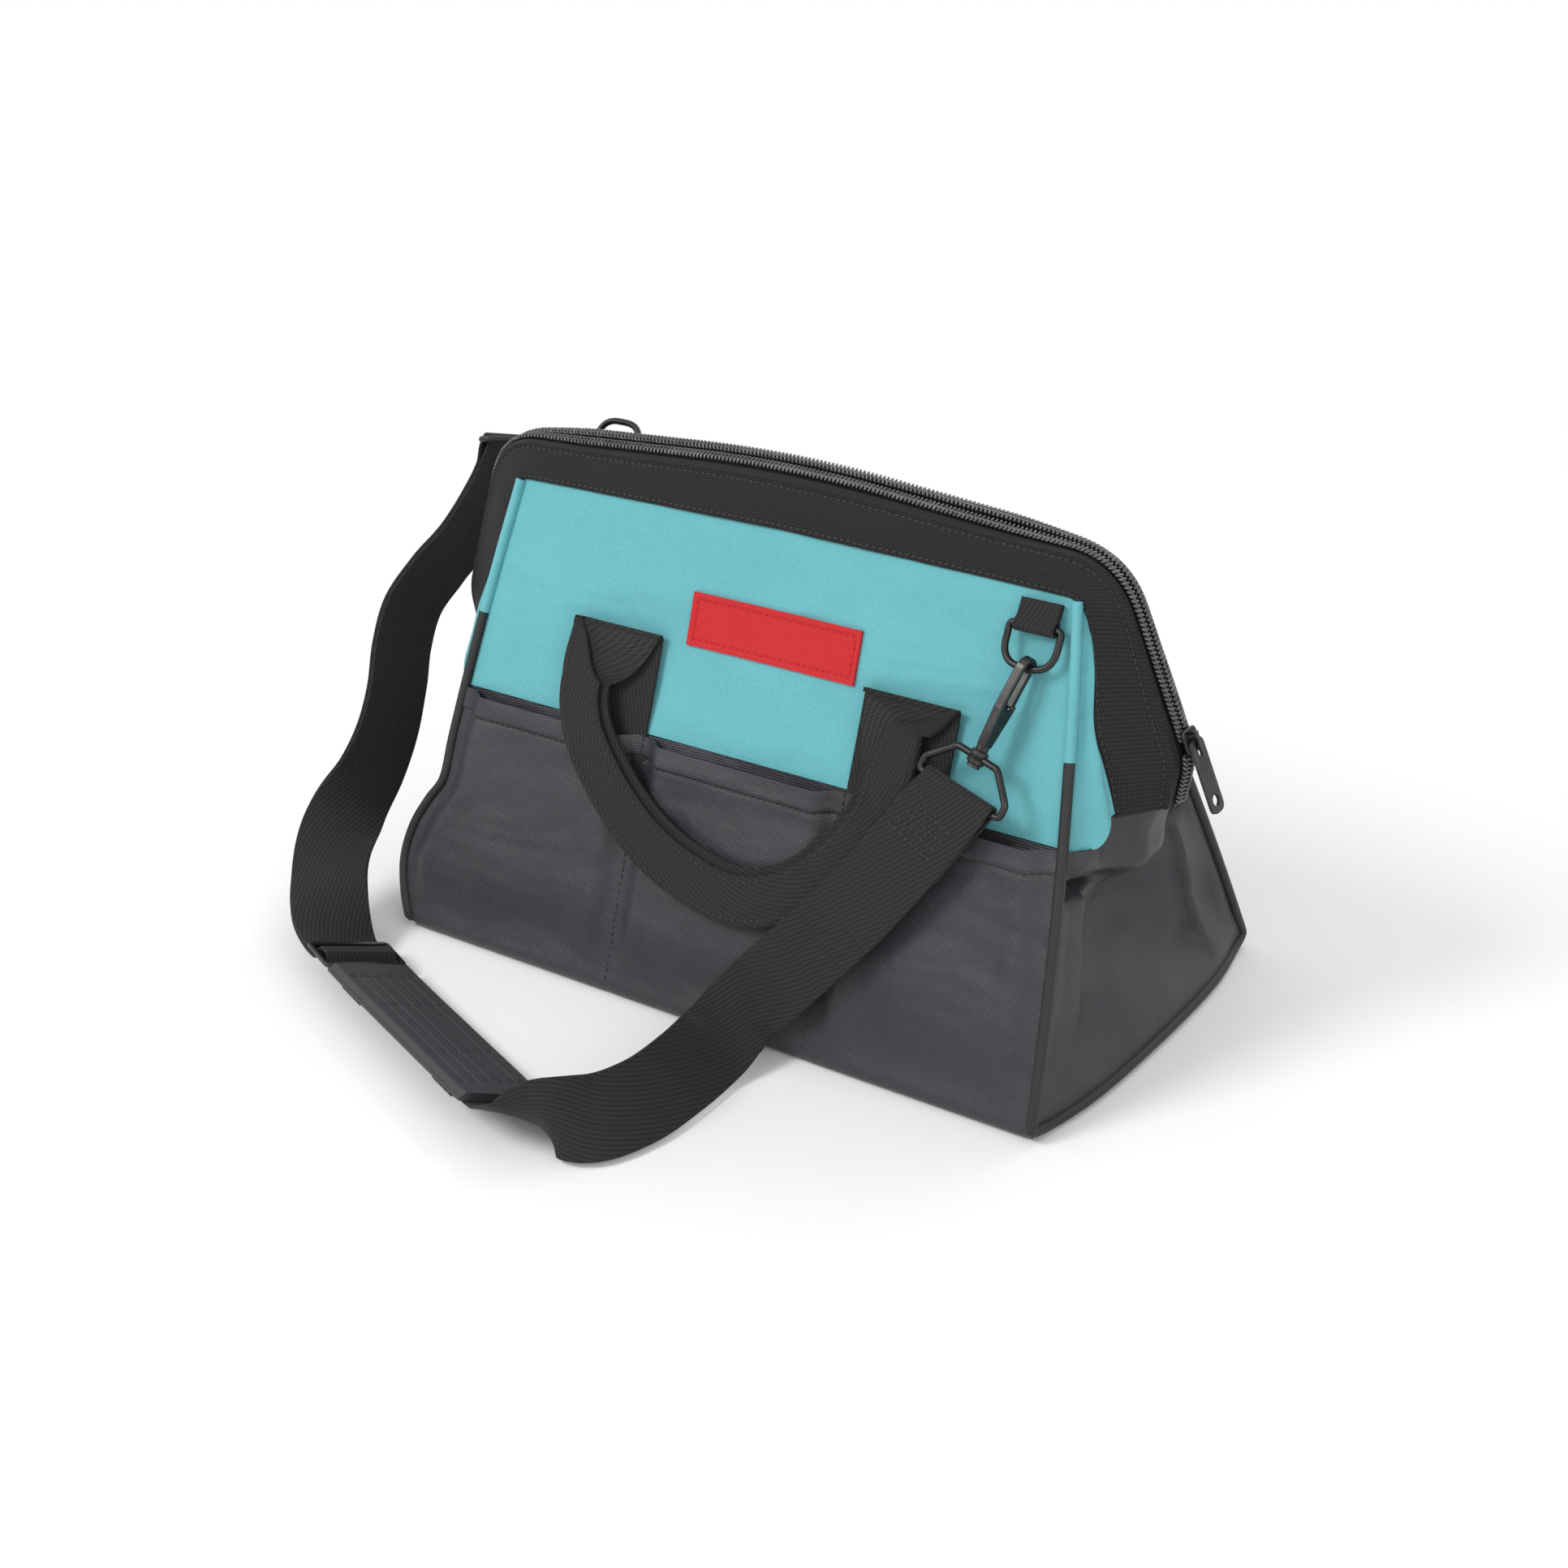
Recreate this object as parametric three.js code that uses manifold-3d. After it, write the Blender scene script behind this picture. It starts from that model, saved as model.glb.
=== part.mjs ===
// Zippered wide-mouth tool bag with pockets, handles and a hooked-on shoulder strap.
// Millimetres, +Z up, +X to the right along the bag, front at -Y, origin at the centre of the base.

import * as THREE from "three";
import { mergeVertices } from "three/addons/utils/BufferGeometryUtils.js";
import Module from "manifold-3d";

const wasm = await Module();
wasm.setup();

// Driving sizes of the bag
const baseLength = 360;
const baseDepth = 198;
const mouthHeight = 245;
const canvasTop = 213;
const canvasTopHalfLength = 155;
const canvasTopDepth = 12;
const pocketTop = 117;
const hingeHeight = 118;

// Cloth and webbing
const clothThickness = 1.3;
const webThickness = 1.5;
const gap = 0.35;
const boardThickness = 3;
const boardMargin = 9;
const bottomRoll = 9;
const rollReach = 7.1;
const pipingRadius = 2.5;

// Pockets on both long sides
const pocketSeams = [-56, 58];
const pocketRoom = 6;
const seamHalfWidth = 7;

// Sag of the canvas and of the soft left end
const canvasSag = 1.5;
const endSag = 14;
const endSagTop = 72;

// Zip and mouth
const legEnd = { x: 196.5, z: 125 };
const legKnee = { x: 201.5, z: 147 };
const mouthCorner = { x: 169.5, z: 232.4 };
const kneeRadius = 26;
const cornerRadius = 38;
const zipCrownRadius = 700;
const bandCornerRadius = 12;
const bandCrownRadius = 500;
const innerLegEnd = { x: 179.5, z: 125 };
const innerLegDepth = 27;
const coilHalfWidth = 4.6;
const coilThickness = 2.8;
const tapeThickness = 0.8;
const frameRadius = 2;
const eyeRadius = 6;
const eyeThickness = 1.6;
const eyePlane = 182;
const rivetRadius = 1.8;
const turningGap = 0.25;

// Handles
const handleWidth = 50;
const handleCentres = [-80, 83];
const handleFoldHeight = 160;
const gripWidth = 27;
const gripThickness = 5;
const gripOverPocket = 10.3;

// Strap hardware, hung from a loop on each mouth band
const ringStation = 138;
const backRingStation = 128;
const loopWidth = 20;
const loopLength = 11;
const wireRadius = 1.6;
const dRingInside = 22;
const dRingHeight = 18;
const dRingBarHeight = 200;
const hookLean = 16;
const eyeInnerRadius = 2.9;
const hookBarWidth = 2.8;
const hookThickness = 4.4;
const eyeLength = 16;
const hookBodyLength = 21;
const shankRadius = 1.7;
const barrelLength = 6;
const barrelRadius = 4;
const gatePinRadius = 0.8;
const gateThickness = 2.2;
const strapBarDrop = 17.5;

// Shoulder strap
const strapWidth = 38;
const strapThickness = 1.6;
const foldBack = 36;
const padLength = 139;
const padWidth = 45;
const padThickness = 4;
const padEdgeThickness = 1.4;
const keeperWidth = 18;
const keeperThickness = 1;
const keeperMargin = 22;
const glideBar = 3;
const glideSlot = 6.5;
const glideMiddleBar = 4;
const glideThickness = 2.2;
const glideRail = 2.4;

// Zip slider and its tab
const sliderLength = 11;
const sliderWidth = 10.4;
const sliderPlate = 1.4;
const bridgeWidth = 1.8;
const bridgeHeight = 3.4;
const bridgeLength = 8;
const neckWidth = 2.4;
const neckLength = 5;
const neckOffset = 2.5;
const tabLength = 34;
const tabWidth = 10;
const tabThickness = 1.4;
const tabHoleRadius = 2.6;

// Patch
const patchMiddle = { x: 3.5, z: 170 };
const patchWidth = 93;
const patchHeight = 23;
const patchThickness = 0.9;

const front = -1;
const back = 1;
const right = 1;
const left = -1;

const canvasMaterial = new THREE.MeshStandardMaterial({ color: 0x6cbfc6, roughness: 0.85, metalness: 0 });
const coatedMaterial = new THREE.MeshStandardMaterial({ color: 0x4b4a4e, roughness: 0.6, metalness: 0 });
const webbingMaterial = new THREE.MeshStandardMaterial({ color: 0x242422, roughness: 0.8, metalness: 0 });
const tapeMaterial = new THREE.MeshStandardMaterial({ color: 0x1c1c1e, roughness: 0.85, metalness: 0 });
const coilMaterial = new THREE.MeshStandardMaterial({ color: 0x3a3a3c, roughness: 0.35, metalness: 0 });
const hardwareMaterial = new THREE.MeshStandardMaterial({ color: 0x2b2b2d, roughness: 0.35, metalness: 0.8 });
const steelMaterial = new THREE.MeshStandardMaterial({ color: 0x8c8f93, roughness: 0.4, metalness: 0.9 });
const boardMaterial = new THREE.MeshStandardMaterial({ color: 0x202124, roughness: 0.6, metalness: 0 });
const rubberMaterial = new THREE.MeshStandardMaterial({ color: 0x47474a, roughness: 0.65, metalness: 0 });
const patchMaterial = new THREE.MeshStandardMaterial({ color: 0xd8262c, roughness: 0.8, metalness: 0 });

const bag = new THREE.Group();

const vec = (x, y, z) => new THREE.Vector3(x, y, z);

const mix = THREE.MathUtils.lerp;

const ease = THREE.MathUtils.smoothstep;

const degrees = THREE.MathUtils.degToRad;

const spread = (from, to, count) => Array.from({ length: count }, (_, i) => mix(from, to, i / (count - 1)));

function place(name, geometry, material, parent = bag) {
  const mesh = new THREE.Mesh(geometry, material);
  mesh.name = name;
  parent.add(mesh);
  return mesh;
}

function weld(geometry) {
  geometry.deleteAttribute("normal");
  geometry.deleteAttribute("uv");
  return mergeVertices(geometry, 1e-4);
}

function toManifold(geometry) {
  const welded = weld(geometry);
  const vertProperties = new Float32Array(welded.attributes.position.array);
  const triVerts = new Uint32Array(welded.index.array);
  return new wasm.Manifold(new wasm.Mesh({ numProp: 3, vertProperties, triVerts }));
}

function fromManifold(solid) {
  const mesh = solid.getMesh();
  const geometry = new THREE.BufferGeometry();
  geometry.setAttribute("position", new THREE.BufferAttribute(mesh.vertProperties, 3));
  geometry.setIndex(new THREE.BufferAttribute(mesh.triVerts, 1));
  return geometry;
}

const join = (first, ...others) => fromManifold(others.reduce((sum, item) => sum.add(toManifold(item)), toManifold(first)));

const cut = (body, ...tools) => fromManifold(tools.reduce((rest, item) => rest.subtract(toManifold(item)), toManifold(body)));

// Turns a closed mesh right side out
function faceOut(positions, triangles) {
  const a = vec();
  const b = vec();
  const c = vec();
  let volume = 0;
  for (let i = 0; i < triangles.length; i += 3) {
    a.fromArray(positions, triangles[i] * 3);
    b.fromArray(positions, triangles[i + 1] * 3);
    c.fromArray(positions, triangles[i + 2] * 3);
    volume += a.dot(b.cross(c));
  }
  const ordered = volume < 0 ? triangles.reverse() : triangles;
  const geometry = new THREE.BufferGeometry();
  geometry.setAttribute("position", new THREE.Float32BufferAttribute(positions, 3));
  geometry.setIndex(ordered);
  return geometry;
}

function gridNormals(grid) {
  const rows = grid.length;
  const columns = grid[0].length;
  return grid.map((row, i) => row.map((_, j) => {
    const along = grid[Math.min(i + 1, rows - 1)][j].clone().sub(grid[Math.max(i - 1, 0)][j]);
    const across = row[Math.min(j + 1, columns - 1)].clone().sub(row[Math.max(j - 1, 0)]);
    return along.cross(across).normalize();
  }));
}

// The same grid moved along its own normals, away from the given inner point
function offsetGrid(grid, distance, inner) {
  const normals = gridNormals(grid);
  const middle = grid[grid.length >> 1][grid[0].length >> 1];
  const normal = normals[grid.length >> 1][grid[0].length >> 1];
  const side = middle.clone().sub(inner).dot(normal) < 0 ? -1 : 1;
  return grid.map((row, i) => row.map((point, j) => point.clone().addScaledVector(normals[i][j], side * distance)));
}

// A closed body between two grids of points
function slab(outer, inner) {
  const rows = outer.length;
  const columns = outer[0].length;
  const positions = [];
  for (const layer of [outer, inner]) {
    for (const point of layer.flat()) {
      positions.push(point.x, point.y, point.z);
    }
  }
  const triangles = [];
  const quad = (a, b, c, d) => triangles.push(a, b, c, a, c, d);
  const at = (layer, i, j) => layer * rows * columns + i * columns + j;
  for (let i = 0; i < rows - 1; i++) {
    for (let j = 0; j < columns - 1; j++) {
      quad(at(0, i, j), at(0, i + 1, j), at(0, i + 1, j + 1), at(0, i, j + 1));
      quad(at(1, i, j), at(1, i, j + 1), at(1, i + 1, j + 1), at(1, i + 1, j));
    }
  }
  for (let i = 0; i < rows - 1; i++) {
    quad(at(0, i, 0), at(1, i, 0), at(1, i + 1, 0), at(0, i + 1, 0));
    quad(at(0, i + 1, columns - 1), at(1, i + 1, columns - 1), at(1, i, columns - 1), at(0, i, columns - 1));
  }
  for (let j = 0; j < columns - 1; j++) {
    quad(at(0, 0, j + 1), at(1, 0, j + 1), at(1, 0, j), at(0, 0, j));
    quad(at(0, rows - 1, j), at(1, rows - 1, j), at(1, rows - 1, j + 1), at(0, rows - 1, j + 1));
  }
  return faceOut(positions, triangles);
}

const sheet = (grid, thickness, inner) => slab(grid, offsetGrid(grid, -thickness, inner));

// A path of straight stretches whose corners are rounded
function roundedPath(points, radii, closed = false) {
  const path = new THREE.CurvePath();
  const count = points.length;
  const corner = (i) => {
    const at = points[i];
    const before = points[(i + count - 1) % count].clone().sub(at).normalize();
    const after = points[(i + 1) % count].clone().sub(at).normalize();
    const reach = radii[i] / Math.tan(before.angleTo(after) / 2);
    const start = at.clone().addScaledVector(before, reach);
    const end = at.clone().addScaledVector(after, reach);
    return { start, end, curve: new THREE.QuadraticBezierCurve3(start, at.clone(), end) };
  };
  const ends = { start: points[0], end: points[0] };
  const first = closed ? corner(0) : ends;
  let from = first.end;
  for (let i = 1; i < count; i++) {
    const last = i === count - 1 && !closed;
    const next = last ? { start: points[i] } : corner(i);
    path.add(new THREE.LineCurve3(from, next.start));
    if (!last) {
      path.add(next.curve);
      from = next.end;
    }
  }
  if (closed) {
    path.add(new THREE.LineCurve3(from, first.start));
    path.add(first.curve);
  }
  return path;
}

function circleShape(radius, sides) {
  const points = Array.from({ length: sides }, (_, i) => {
    const angle = (i / sides) * Math.PI * 2;
    return new THREE.Vector2(Math.cos(angle) * radius, Math.sin(angle) * radius);
  });
  return new THREE.Shape(points);
}

function rod(path, radius, steps, sides = 6) {
  return new THREE.ExtrudeGeometry(circleShape(radius, sides), { extrudePath: path, steps, curveSegments: 1 });
}

// A wire bent into a closed ring
const wireRing = (path, steps) => new THREE.TubeGeometry(path, steps, wireRadius, 6, true);

function plate(shape, thickness, bevel = 0) {
  const options = { depth: thickness - 2 * bevel, bevelEnabled: bevel > 0, bevelSize: bevel, bevelThickness: bevel };
  const geometry = new THREE.ExtrudeGeometry(shape, { ...options, bevelOffset: -bevel, bevelSegments: 1, curveSegments: 5 });
  geometry.translate(0, 0, -thickness / 2 + bevel);
  return geometry;
}

const cylinder = (radius, length, sides = 14) => new THREE.CylinderGeometry(radius, radius, length, sides);

// A flat ribbon through stations that each hold a centre, a direction across and a normal
function ribbon(stations, width, thickness) {
  const corners = stations.map(({ centre, across, normal }) => {
    const at = (a, n) => centre.clone().addScaledVector(across, a * width / 2).addScaledVector(normal, n * thickness / 2);
    return [[at(-1, 1), at(1, 1)], [at(-1, -1), at(1, -1)]];
  });
  return slab(corners.map(([upper]) => upper), corners.map(([, lower]) => lower));
}

// Outline of the two long walls
const wallSlope = (baseDepth / 2 - canvasTopDepth) / canvasTop;
const taper = (baseLength / 2 - canvasTopHalfLength) / canvasTop;
const taperCurve = 0.00032;

function halfLength(z, end) {
  const straight = baseLength / 2 - 1.5 - taper * z;
  const bowed = straight + taperCurve * z * (canvasTop - z);
  const sag = z < endSagTop && end === left ? endSag * Math.sin((Math.PI * z) / endSagTop) : 0;
  return bowed + sag;
}

const outerWall = (z) => baseDepth / 2 - wallSlope * z;

// The rounded lower edge of the wall, from the floor to the top of the roll
function rollInset(z) {
  const depth = Math.max(0, 1 - z / bottomRoll);
  return bottomRoll * (1 - Math.sqrt(1 - depth * depth)) * 0.9;
}

const wallPoint = (u, z, side, inset) => {
  const end = u < 0 ? left : right;
  const x = u * (halfLength(z, end) - pipingRadius - 2 * gap);
  return vec(x, side * (outerWall(z) - rollInset(z) - inset), z);
};

const bagInside = vec(0, 0, 90);

const sideHeights = [9, 18, 32, 48, 62, endSagTop, 92];
const lowerHeights = [gap, 2.2, 5, ...sideHeights, pocketTop];

const wallInset = clothThickness + gap;

// How far a pocket stands off the wall behind it, none along its seams and its ends
function pocketLift(x, z) {
  const reach = halfLength(z, x < 0 ? left : right) - pipingRadius;
  const edges = [-reach, ...pocketSeams, reach];
  const away = Math.min(...edges.map((edge) => Math.abs(x - edge)));
  return pocketRoom * ease(away, seamHalfWidth / 2, seamHalfWidth * 2) * ease(z, 8, 40);
}

function pocketColumns(side) {
  const reach = baseLength / 2 - pipingRadius;
  const seams = pocketSeams.map((seam) => seam * (side === front ? 1 : -1)).sort((a, b) => a - b);
  const edges = [-reach, ...seams, reach];
  const columns = [];
  for (let i = 0; i < edges.length - 1; i++) {
    const [low, high] = [edges[i], edges[i + 1]];
    columns.push(low + seamHalfWidth / 3, low + seamHalfWidth * 1.2, low + seamHalfWidth * 2.4);
    columns.push((low + high) / 2);
    columns.push(high - seamHalfWidth * 2.4, high - seamHalfWidth * 1.2, high - seamHalfWidth / 3);
  }
  return columns.map((x) => x / reach);
}

function pocketGrid(side) {
  const turn = side === front ? 1 : -1;
  const columns = [-1, ...pocketColumns(side), 1];
  return lowerHeights.map((z) => columns.map((u) => {
    const point = wallPoint(u, z, side, 0);
    point.y += side * pocketLift(point.x * turn, z);
    return point;
  }));
}

function lowerWallGrid(side) {
  const heights = lowerHeights.slice(1).map((z, i) => (i === 0 ? z + clothThickness : z));
  return heights.map((z) => spread(-1, 1, 13).map((u) => wallPoint(u, z, side, wallInset)));
}

// Outer face of the front canvas, which sags in a little between the hem and the band
function canvasSurface(x, z) {
  const across = Math.cos((Math.PI / 2) * Math.min(1, Math.abs(x) / canvasTopHalfLength));
  const upward = THREE.MathUtils.clamp((z - pocketTop) / (canvasTop - pocketTop), 0, 1);
  return -(outerWall(z) - wallInset - canvasSag * across * Math.sin(Math.PI * upward));
}

function canvasGrid(side) {
  const heights = spread(pocketTop + gap, canvasTop - gap, 7);
  return heights.map((z) => spread(-1, 1, 13).map((u) => {
    const point = wallPoint(u, z, side, wallInset);
    return point.setY(-side * canvasSurface(point.x, z));
  }));
}

function makeWalls() {
  for (const [side, name] of [[front, "front"], [back, "back"]]) {
    place(`${name}_pocket_panel`, sheet(pocketGrid(side), clothThickness, bagInside), coatedMaterial);
    place(`${name}_lower_wall`, sheet(lowerWallGrid(side), clothThickness, bagInside), coatedMaterial);
    place(`${name}_canvas`, sheet(canvasGrid(side), clothThickness, bagInside), canvasMaterial);
  }
}

// End walls: they bulge at the floor, dip at mid height and come out under the end of the zip.
// Above the crease the cloth is a loose fold that gives way when the mouth opens.
const creaseHeight = 97;
const foldTop = 112;
const foldRise = 10;
const cornerLift = 3.5;
const endHalf = baseLength / 2;
const endRidge = new THREE.CatmullRomCurve3([
  vec(endHalf + 8, 0, 6), vec(endHalf + 7, 0, 16), vec(endHalf - 6, 0, 42), vec(endHalf - 15, 0, 70),
  vec(endHalf - 10, 0, 93), vec(endHalf + 6, 0, 104), vec(endHalf + 11, 0, 113),
]);

function endWallX(z, across, end) {
  const ridgeShare = THREE.MathUtils.clamp((z - 6) / (foldTop - 5), 0, 1);
  const ridge = endRidge.getPoint(ridgeShare).x;
  const edge = halfLength(z, end) + 4 * Math.sin(Math.PI * Math.min(1, (1 - across) / 0.7));
  return mix(ridge, edge, ease(across, 0.12, 0.62));
}

function endWallGrid(end, heights) {
  return heights.map((z) => spread(-1, 1, 17).map((share) => {
    const reach = outerWall(z) - rollInset(z) - pipingRadius - gap - 1.8 * clothThickness;
    const across = Math.abs(share);
    const corner = cornerLift * ease(across, 0.8, 1) * (1 - ease(z, 10, 24));
    const rise = foldRise * (1 - ease(across, 0.2, 0.5)) * ease(z, creaseHeight + 2, foldTop);
    return vec(end * endWallX(z, across, end), share * reach, z + corner + rise);
  }));
}

const endNames = [[right, "right"], [left, "left"]];

function makeEnds() {
  const low = 2 * pipingRadius + 3 * gap + 1;
  for (const [end, name] of endNames) {
    const lower = endWallGrid(end, [low, 13, 24, 40, 56, 72, 86, creaseHeight]);
    const upper = endWallGrid(end, [creaseHeight + 3 * gap, 104, foldTop]);
    place(`${name}_end_panel`, sheet(lower, clothThickness, bagInside), coatedMaterial);
    place(`${name}_end_fold`, sheet(upper, clothThickness, bagInside), coatedMaterial);
  }
}

function pipingPath(end) {
  const z0 = pipingRadius + 2 * gap;
  const centreAt = (z, side) => vec(end * halfLength(z, end), side * (outerWall(z) - rollInset(z) - clothThickness / 2), z);
  const heights = [canvasTop - 4, 170, pocketTop, ...[...sideHeights].reverse()];
  const down = heights.map((z) => centreAt(z, front));
  const bulge = endWallX(6, 0, end) - 1;
  const low = centreAt(z0, front);
  const floorRun = [
    vec(low.x * 1.005, low.y + 9, z0), vec(end * mix(Math.abs(low.x), bulge, 0.75), low.y * 0.6, z0), vec(end * bulge, 0, z0),
  ];
  const firstHalf = [...down, centreAt(6, front), ...floorRun];
  const secondHalf = firstHalf.slice(0, -1).reverse().map((point) => vec(point.x, -point.y, point.z));
  return new THREE.CatmullRomCurve3([...firstHalf, ...secondHalf], false, "centripetal");
}

function makePiping() {
  for (const [end, name] of endNames) {
    place(`${name}_piping`, rod(pipingPath(end), pipingRadius, 48), webbingMaterial);
  }
}

// Bottom cloth between the rolls, and the stiff board that lies on it
function floorShape(endMargin, sideMargin) {
  const y = baseDepth / 2 - sideMargin;
  const x = baseLength / 2 - endMargin;
  const shape = new THREE.Shape();
  shape.moveTo(-x, -y);
  shape.lineTo(x, -y);
  shape.quadraticCurveTo(x + 6, 0, x, y);
  shape.lineTo(-x, y);
  shape.quadraticCurveTo(-x - 6, 0, -x, -y);
  return shape;
}

function makeBottom() {
  const bottomCloth = plate(floorShape(pipingRadius * 2 + 1, rollReach), clothThickness);
  bottomCloth.translate(0, 0, clothThickness / 2);
  place("bottom_panel", bottomCloth, coatedMaterial);
  const board = plate(floorShape(boardMargin + 3, boardMargin + bottomRoll / 2), boardThickness);
  board.translate(0, 0, clothThickness + gap + boardThickness / 2);
  place("bottom_board", board, boardMaterial);
}

// Zip line round the mouth, at Y 0, from the right end over the top to the left end
function mouthPath() {
  const half = [
    vec(legEnd.x, 0, legEnd.z), vec(legKnee.x, 0, legKnee.z), vec(mouthCorner.x, 0, mouthCorner.z),
  ];
  const mirrored = half.map((point) => vec(-point.x, 0, point.z)).reverse();
  const points = [...half, vec(0, 0, mouthHeight), ...mirrored];
  return roundedPath(points, [0, kneeRadius, cornerRadius, zipCrownRadius, cornerRadius, kneeRadius, 0]);
}

// Lower edge of the band in plan and height: along the canvas top and down beside the zip ends
function innerMouthPath() {
  const corner = vec(canvasTopHalfLength + 1, 0, canvasTop + 1);
  const half = [vec(innerLegEnd.x, 0, innerLegEnd.z), corner];
  const points = [...half, vec(0, 0, canvasTop + 3), ...half.map((point) => vec(-point.x, 0, point.z)).reverse()];
  return roundedPath(points, [0, bandCornerRadius, bandCrownRadius, bandCornerRadius, 0]);
}

const mouthKnee = vec(legKnee.x, 0, legKnee.z);
const legUp = vec(mouthCorner.x, 0, mouthCorner.z).sub(mouthKnee).normalize();
const lowerLegUp = mouthKnee.clone().sub(vec(legEnd.x, 0, legEnd.z)).normalize();
const kneeReach = kneeRadius * Math.tan(lowerLegUp.angleTo(legUp) / 2);

const mouthCurve = mouthPath();
const innerMouthCurve = innerMouthPath();

// Shares of both curves at their legs and corners, so that stations keep in step
const legShare = 0.175;
const innerLegShare = 0.165;
const cornerShare = 0.09;
const innerCornerShare = 0.035;

const shareKnots = [0, legShare, legShare + cornerShare, 1 - legShare - cornerShare, 1 - legShare, 1];
const innerShareKnots = [0, innerLegShare, innerLegShare + innerCornerShare, 1 - innerLegShare - innerCornerShare, 1 - innerLegShare, 1];
const stationCounts = [4, 5, 8, 5, 4];

function shares(knots) {
  const list = [];
  stationCounts.forEach((count, part) => {
    for (let i = 0; i < count; i++) {
      list.push(mix(knots[part], knots[part + 1], i / count));
    }
  });
  return [...list, 1];
}

const mouthShares = shares(shareKnots);
const innerMouthShares = shares(innerShareKnots);

function innerDepth(z) {
  return mix(innerLegDepth, canvasTopDepth, ease(z, legKnee.z + 8, canvasTop - 6));
}

// A point of the mouth surface: part 0 on the zip, part 1 on the band's lower edge
function mouthPoint(index, part, side) {
  const zip = mouthCurve.getPointAt(mouthShares[index]);
  const inner = innerMouthCurve.getPointAt(innerMouthShares[index]);
  const depth = innerDepth(inner.z);
  const toInner = inner.clone().sub(zip);
  const edge = inner.clone().setY(side * depth);
  const bend = zip.clone().addScaledVector(toInner, 0.2).setY(side * (8 + depth * 0.12));
  const curve = new THREE.CubicBezierCurve3(zip, zip.clone().setY(side * 7), bend, edge);
  return curve.getPoint(part);
}

function mouthGrid(parts, side) {
  return mouthShares.map((_, i) => parts.map((part) => mouthPoint(i, part, side)));
}

const mouthInside = vec(0, 0, 190);
const tapeDrop = webThickness + gap;
const frameDrop = tapeDrop + tapeThickness + 2.5 * gap + frameRadius;

function curveAt(part, side, drop) {
  const grid = mouthGrid([part - 0.03, part, part + 0.03], side);
  const points = offsetGrid(grid, -drop, mouthInside).map((row) => row[1]);
  return new THREE.CatmullRomCurve3(points, false, "centripetal");
}

// One half of the zip chain, a flat-bottomed bead that stands on the edge of its tape
function coilGeometry(side) {
  const near = mouthShares.map((share) => mouthCurve.getPointAt(share));
  const inwards = near.map((point, i) => {
    const ahead = near[Math.min(i + 1, near.length - 1)].clone().sub(near[Math.max(i - 1, 0)]).normalize();
    return vec(0, 1, 0).cross(ahead).normalize();
  });
  const row = (y, height) => near.map((point, i) => point.clone().addScaledVector(inwards[i], -height).setY(side * y));
  const low = -tapeDrop + gap;
  const columns = [[gap / 2, low], [gap / 2, low + coilThickness * 0.8], [coilHalfWidth * 0.35, low + coilThickness],
    [coilHalfWidth * 0.8, low + coilThickness * 0.7], [coilHalfWidth, low]];
  const outer = columns.map(([y, height]) => row(y, height));
  const outerRows = near.map((_, i) => outer.map((line) => line[i]));
  const flatRows = near.map((_, i) => columns.map(([y]) => row(y, low - 0.1)[i]));
  const notch = new THREE.BoxGeometry(neckWidth + 2 * gap, neckLength + 2 * gap, 12).translate(0, -neckOffset, 0);
  notch.applyMatrix4(sliderFrame);
  return cut(slab(outerRows, flatRows), notch);
}

const frameEyeX = (side) => eyePlane + (side === front ? 0 : eyeThickness + gap);

// Spring-steel wire in the hem of each band, its ends flattened to eyes that share a rivet
function frameGeometry(side) {
  const run = curveAt(0.42, side, frameDrop).getSpacedPoints(30);
  const eyeX = frameEyeX(side);
  const flush = frameRadius - eyeThickness / 2;
  const wireX = eyeX + (side === front ? -flush : flush);
  const eyeTop = vec(wireX, side * eyeRadius * 0.75, hingeHeight + eyeRadius * 0.6);
  const stem = vec(wireX, side * eyeRadius, hingeHeight + eyeRadius * 1.6);
  const elbow = vec(mix(run[1].x, wireX, 0.3), side * eyeRadius * 1.15, mix(run[1].z, stem.z, 0.5));
  const foot = [eyeTop, stem, elbow];
  const mirrored = foot.map((point) => vec(-point.x, point.y, point.z)).reverse();
  const points = [...foot, ...run.slice(1, -1), ...mirrored];
  const wire = rod(new THREE.CatmullRomCurve3(points, false, "centripetal"), frameRadius, 48);
  const disc = (x, radius, length) => cylinder(radius, length).rotateZ(Math.PI / 2).translate(x, 0, hingeHeight);
  const eyes = [eyeX, -eyeX].map((x) => disc(x, eyeRadius, eyeThickness));
  const holes = [eyeX, -eyeX].map((x) => disc(x, rivetRadius + turningGap, eyeThickness * 4));
  return cut(join(wire, ...eyes), ...holes);
}

function rivetGeometry(end) {
  const stack = 2 * eyeThickness + gap;
  const middle = eyePlane + (eyeThickness + gap) / 2;
  const headThickness = 1;
  const shaft = cylinder(rivetRadius, stack + 2 * turningGap + 2 * headThickness);
  const heads = [-1, 1].map((way) => {
    return cylinder(rivetRadius * 1.7, headThickness).translate(0, way * (stack / 2 + turningGap + headThickness / 2), 0);
  });
  return join(shaft, ...heads).rotateZ(Math.PI / 2).translate(end * middle, 0, hingeHeight);
}

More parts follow.
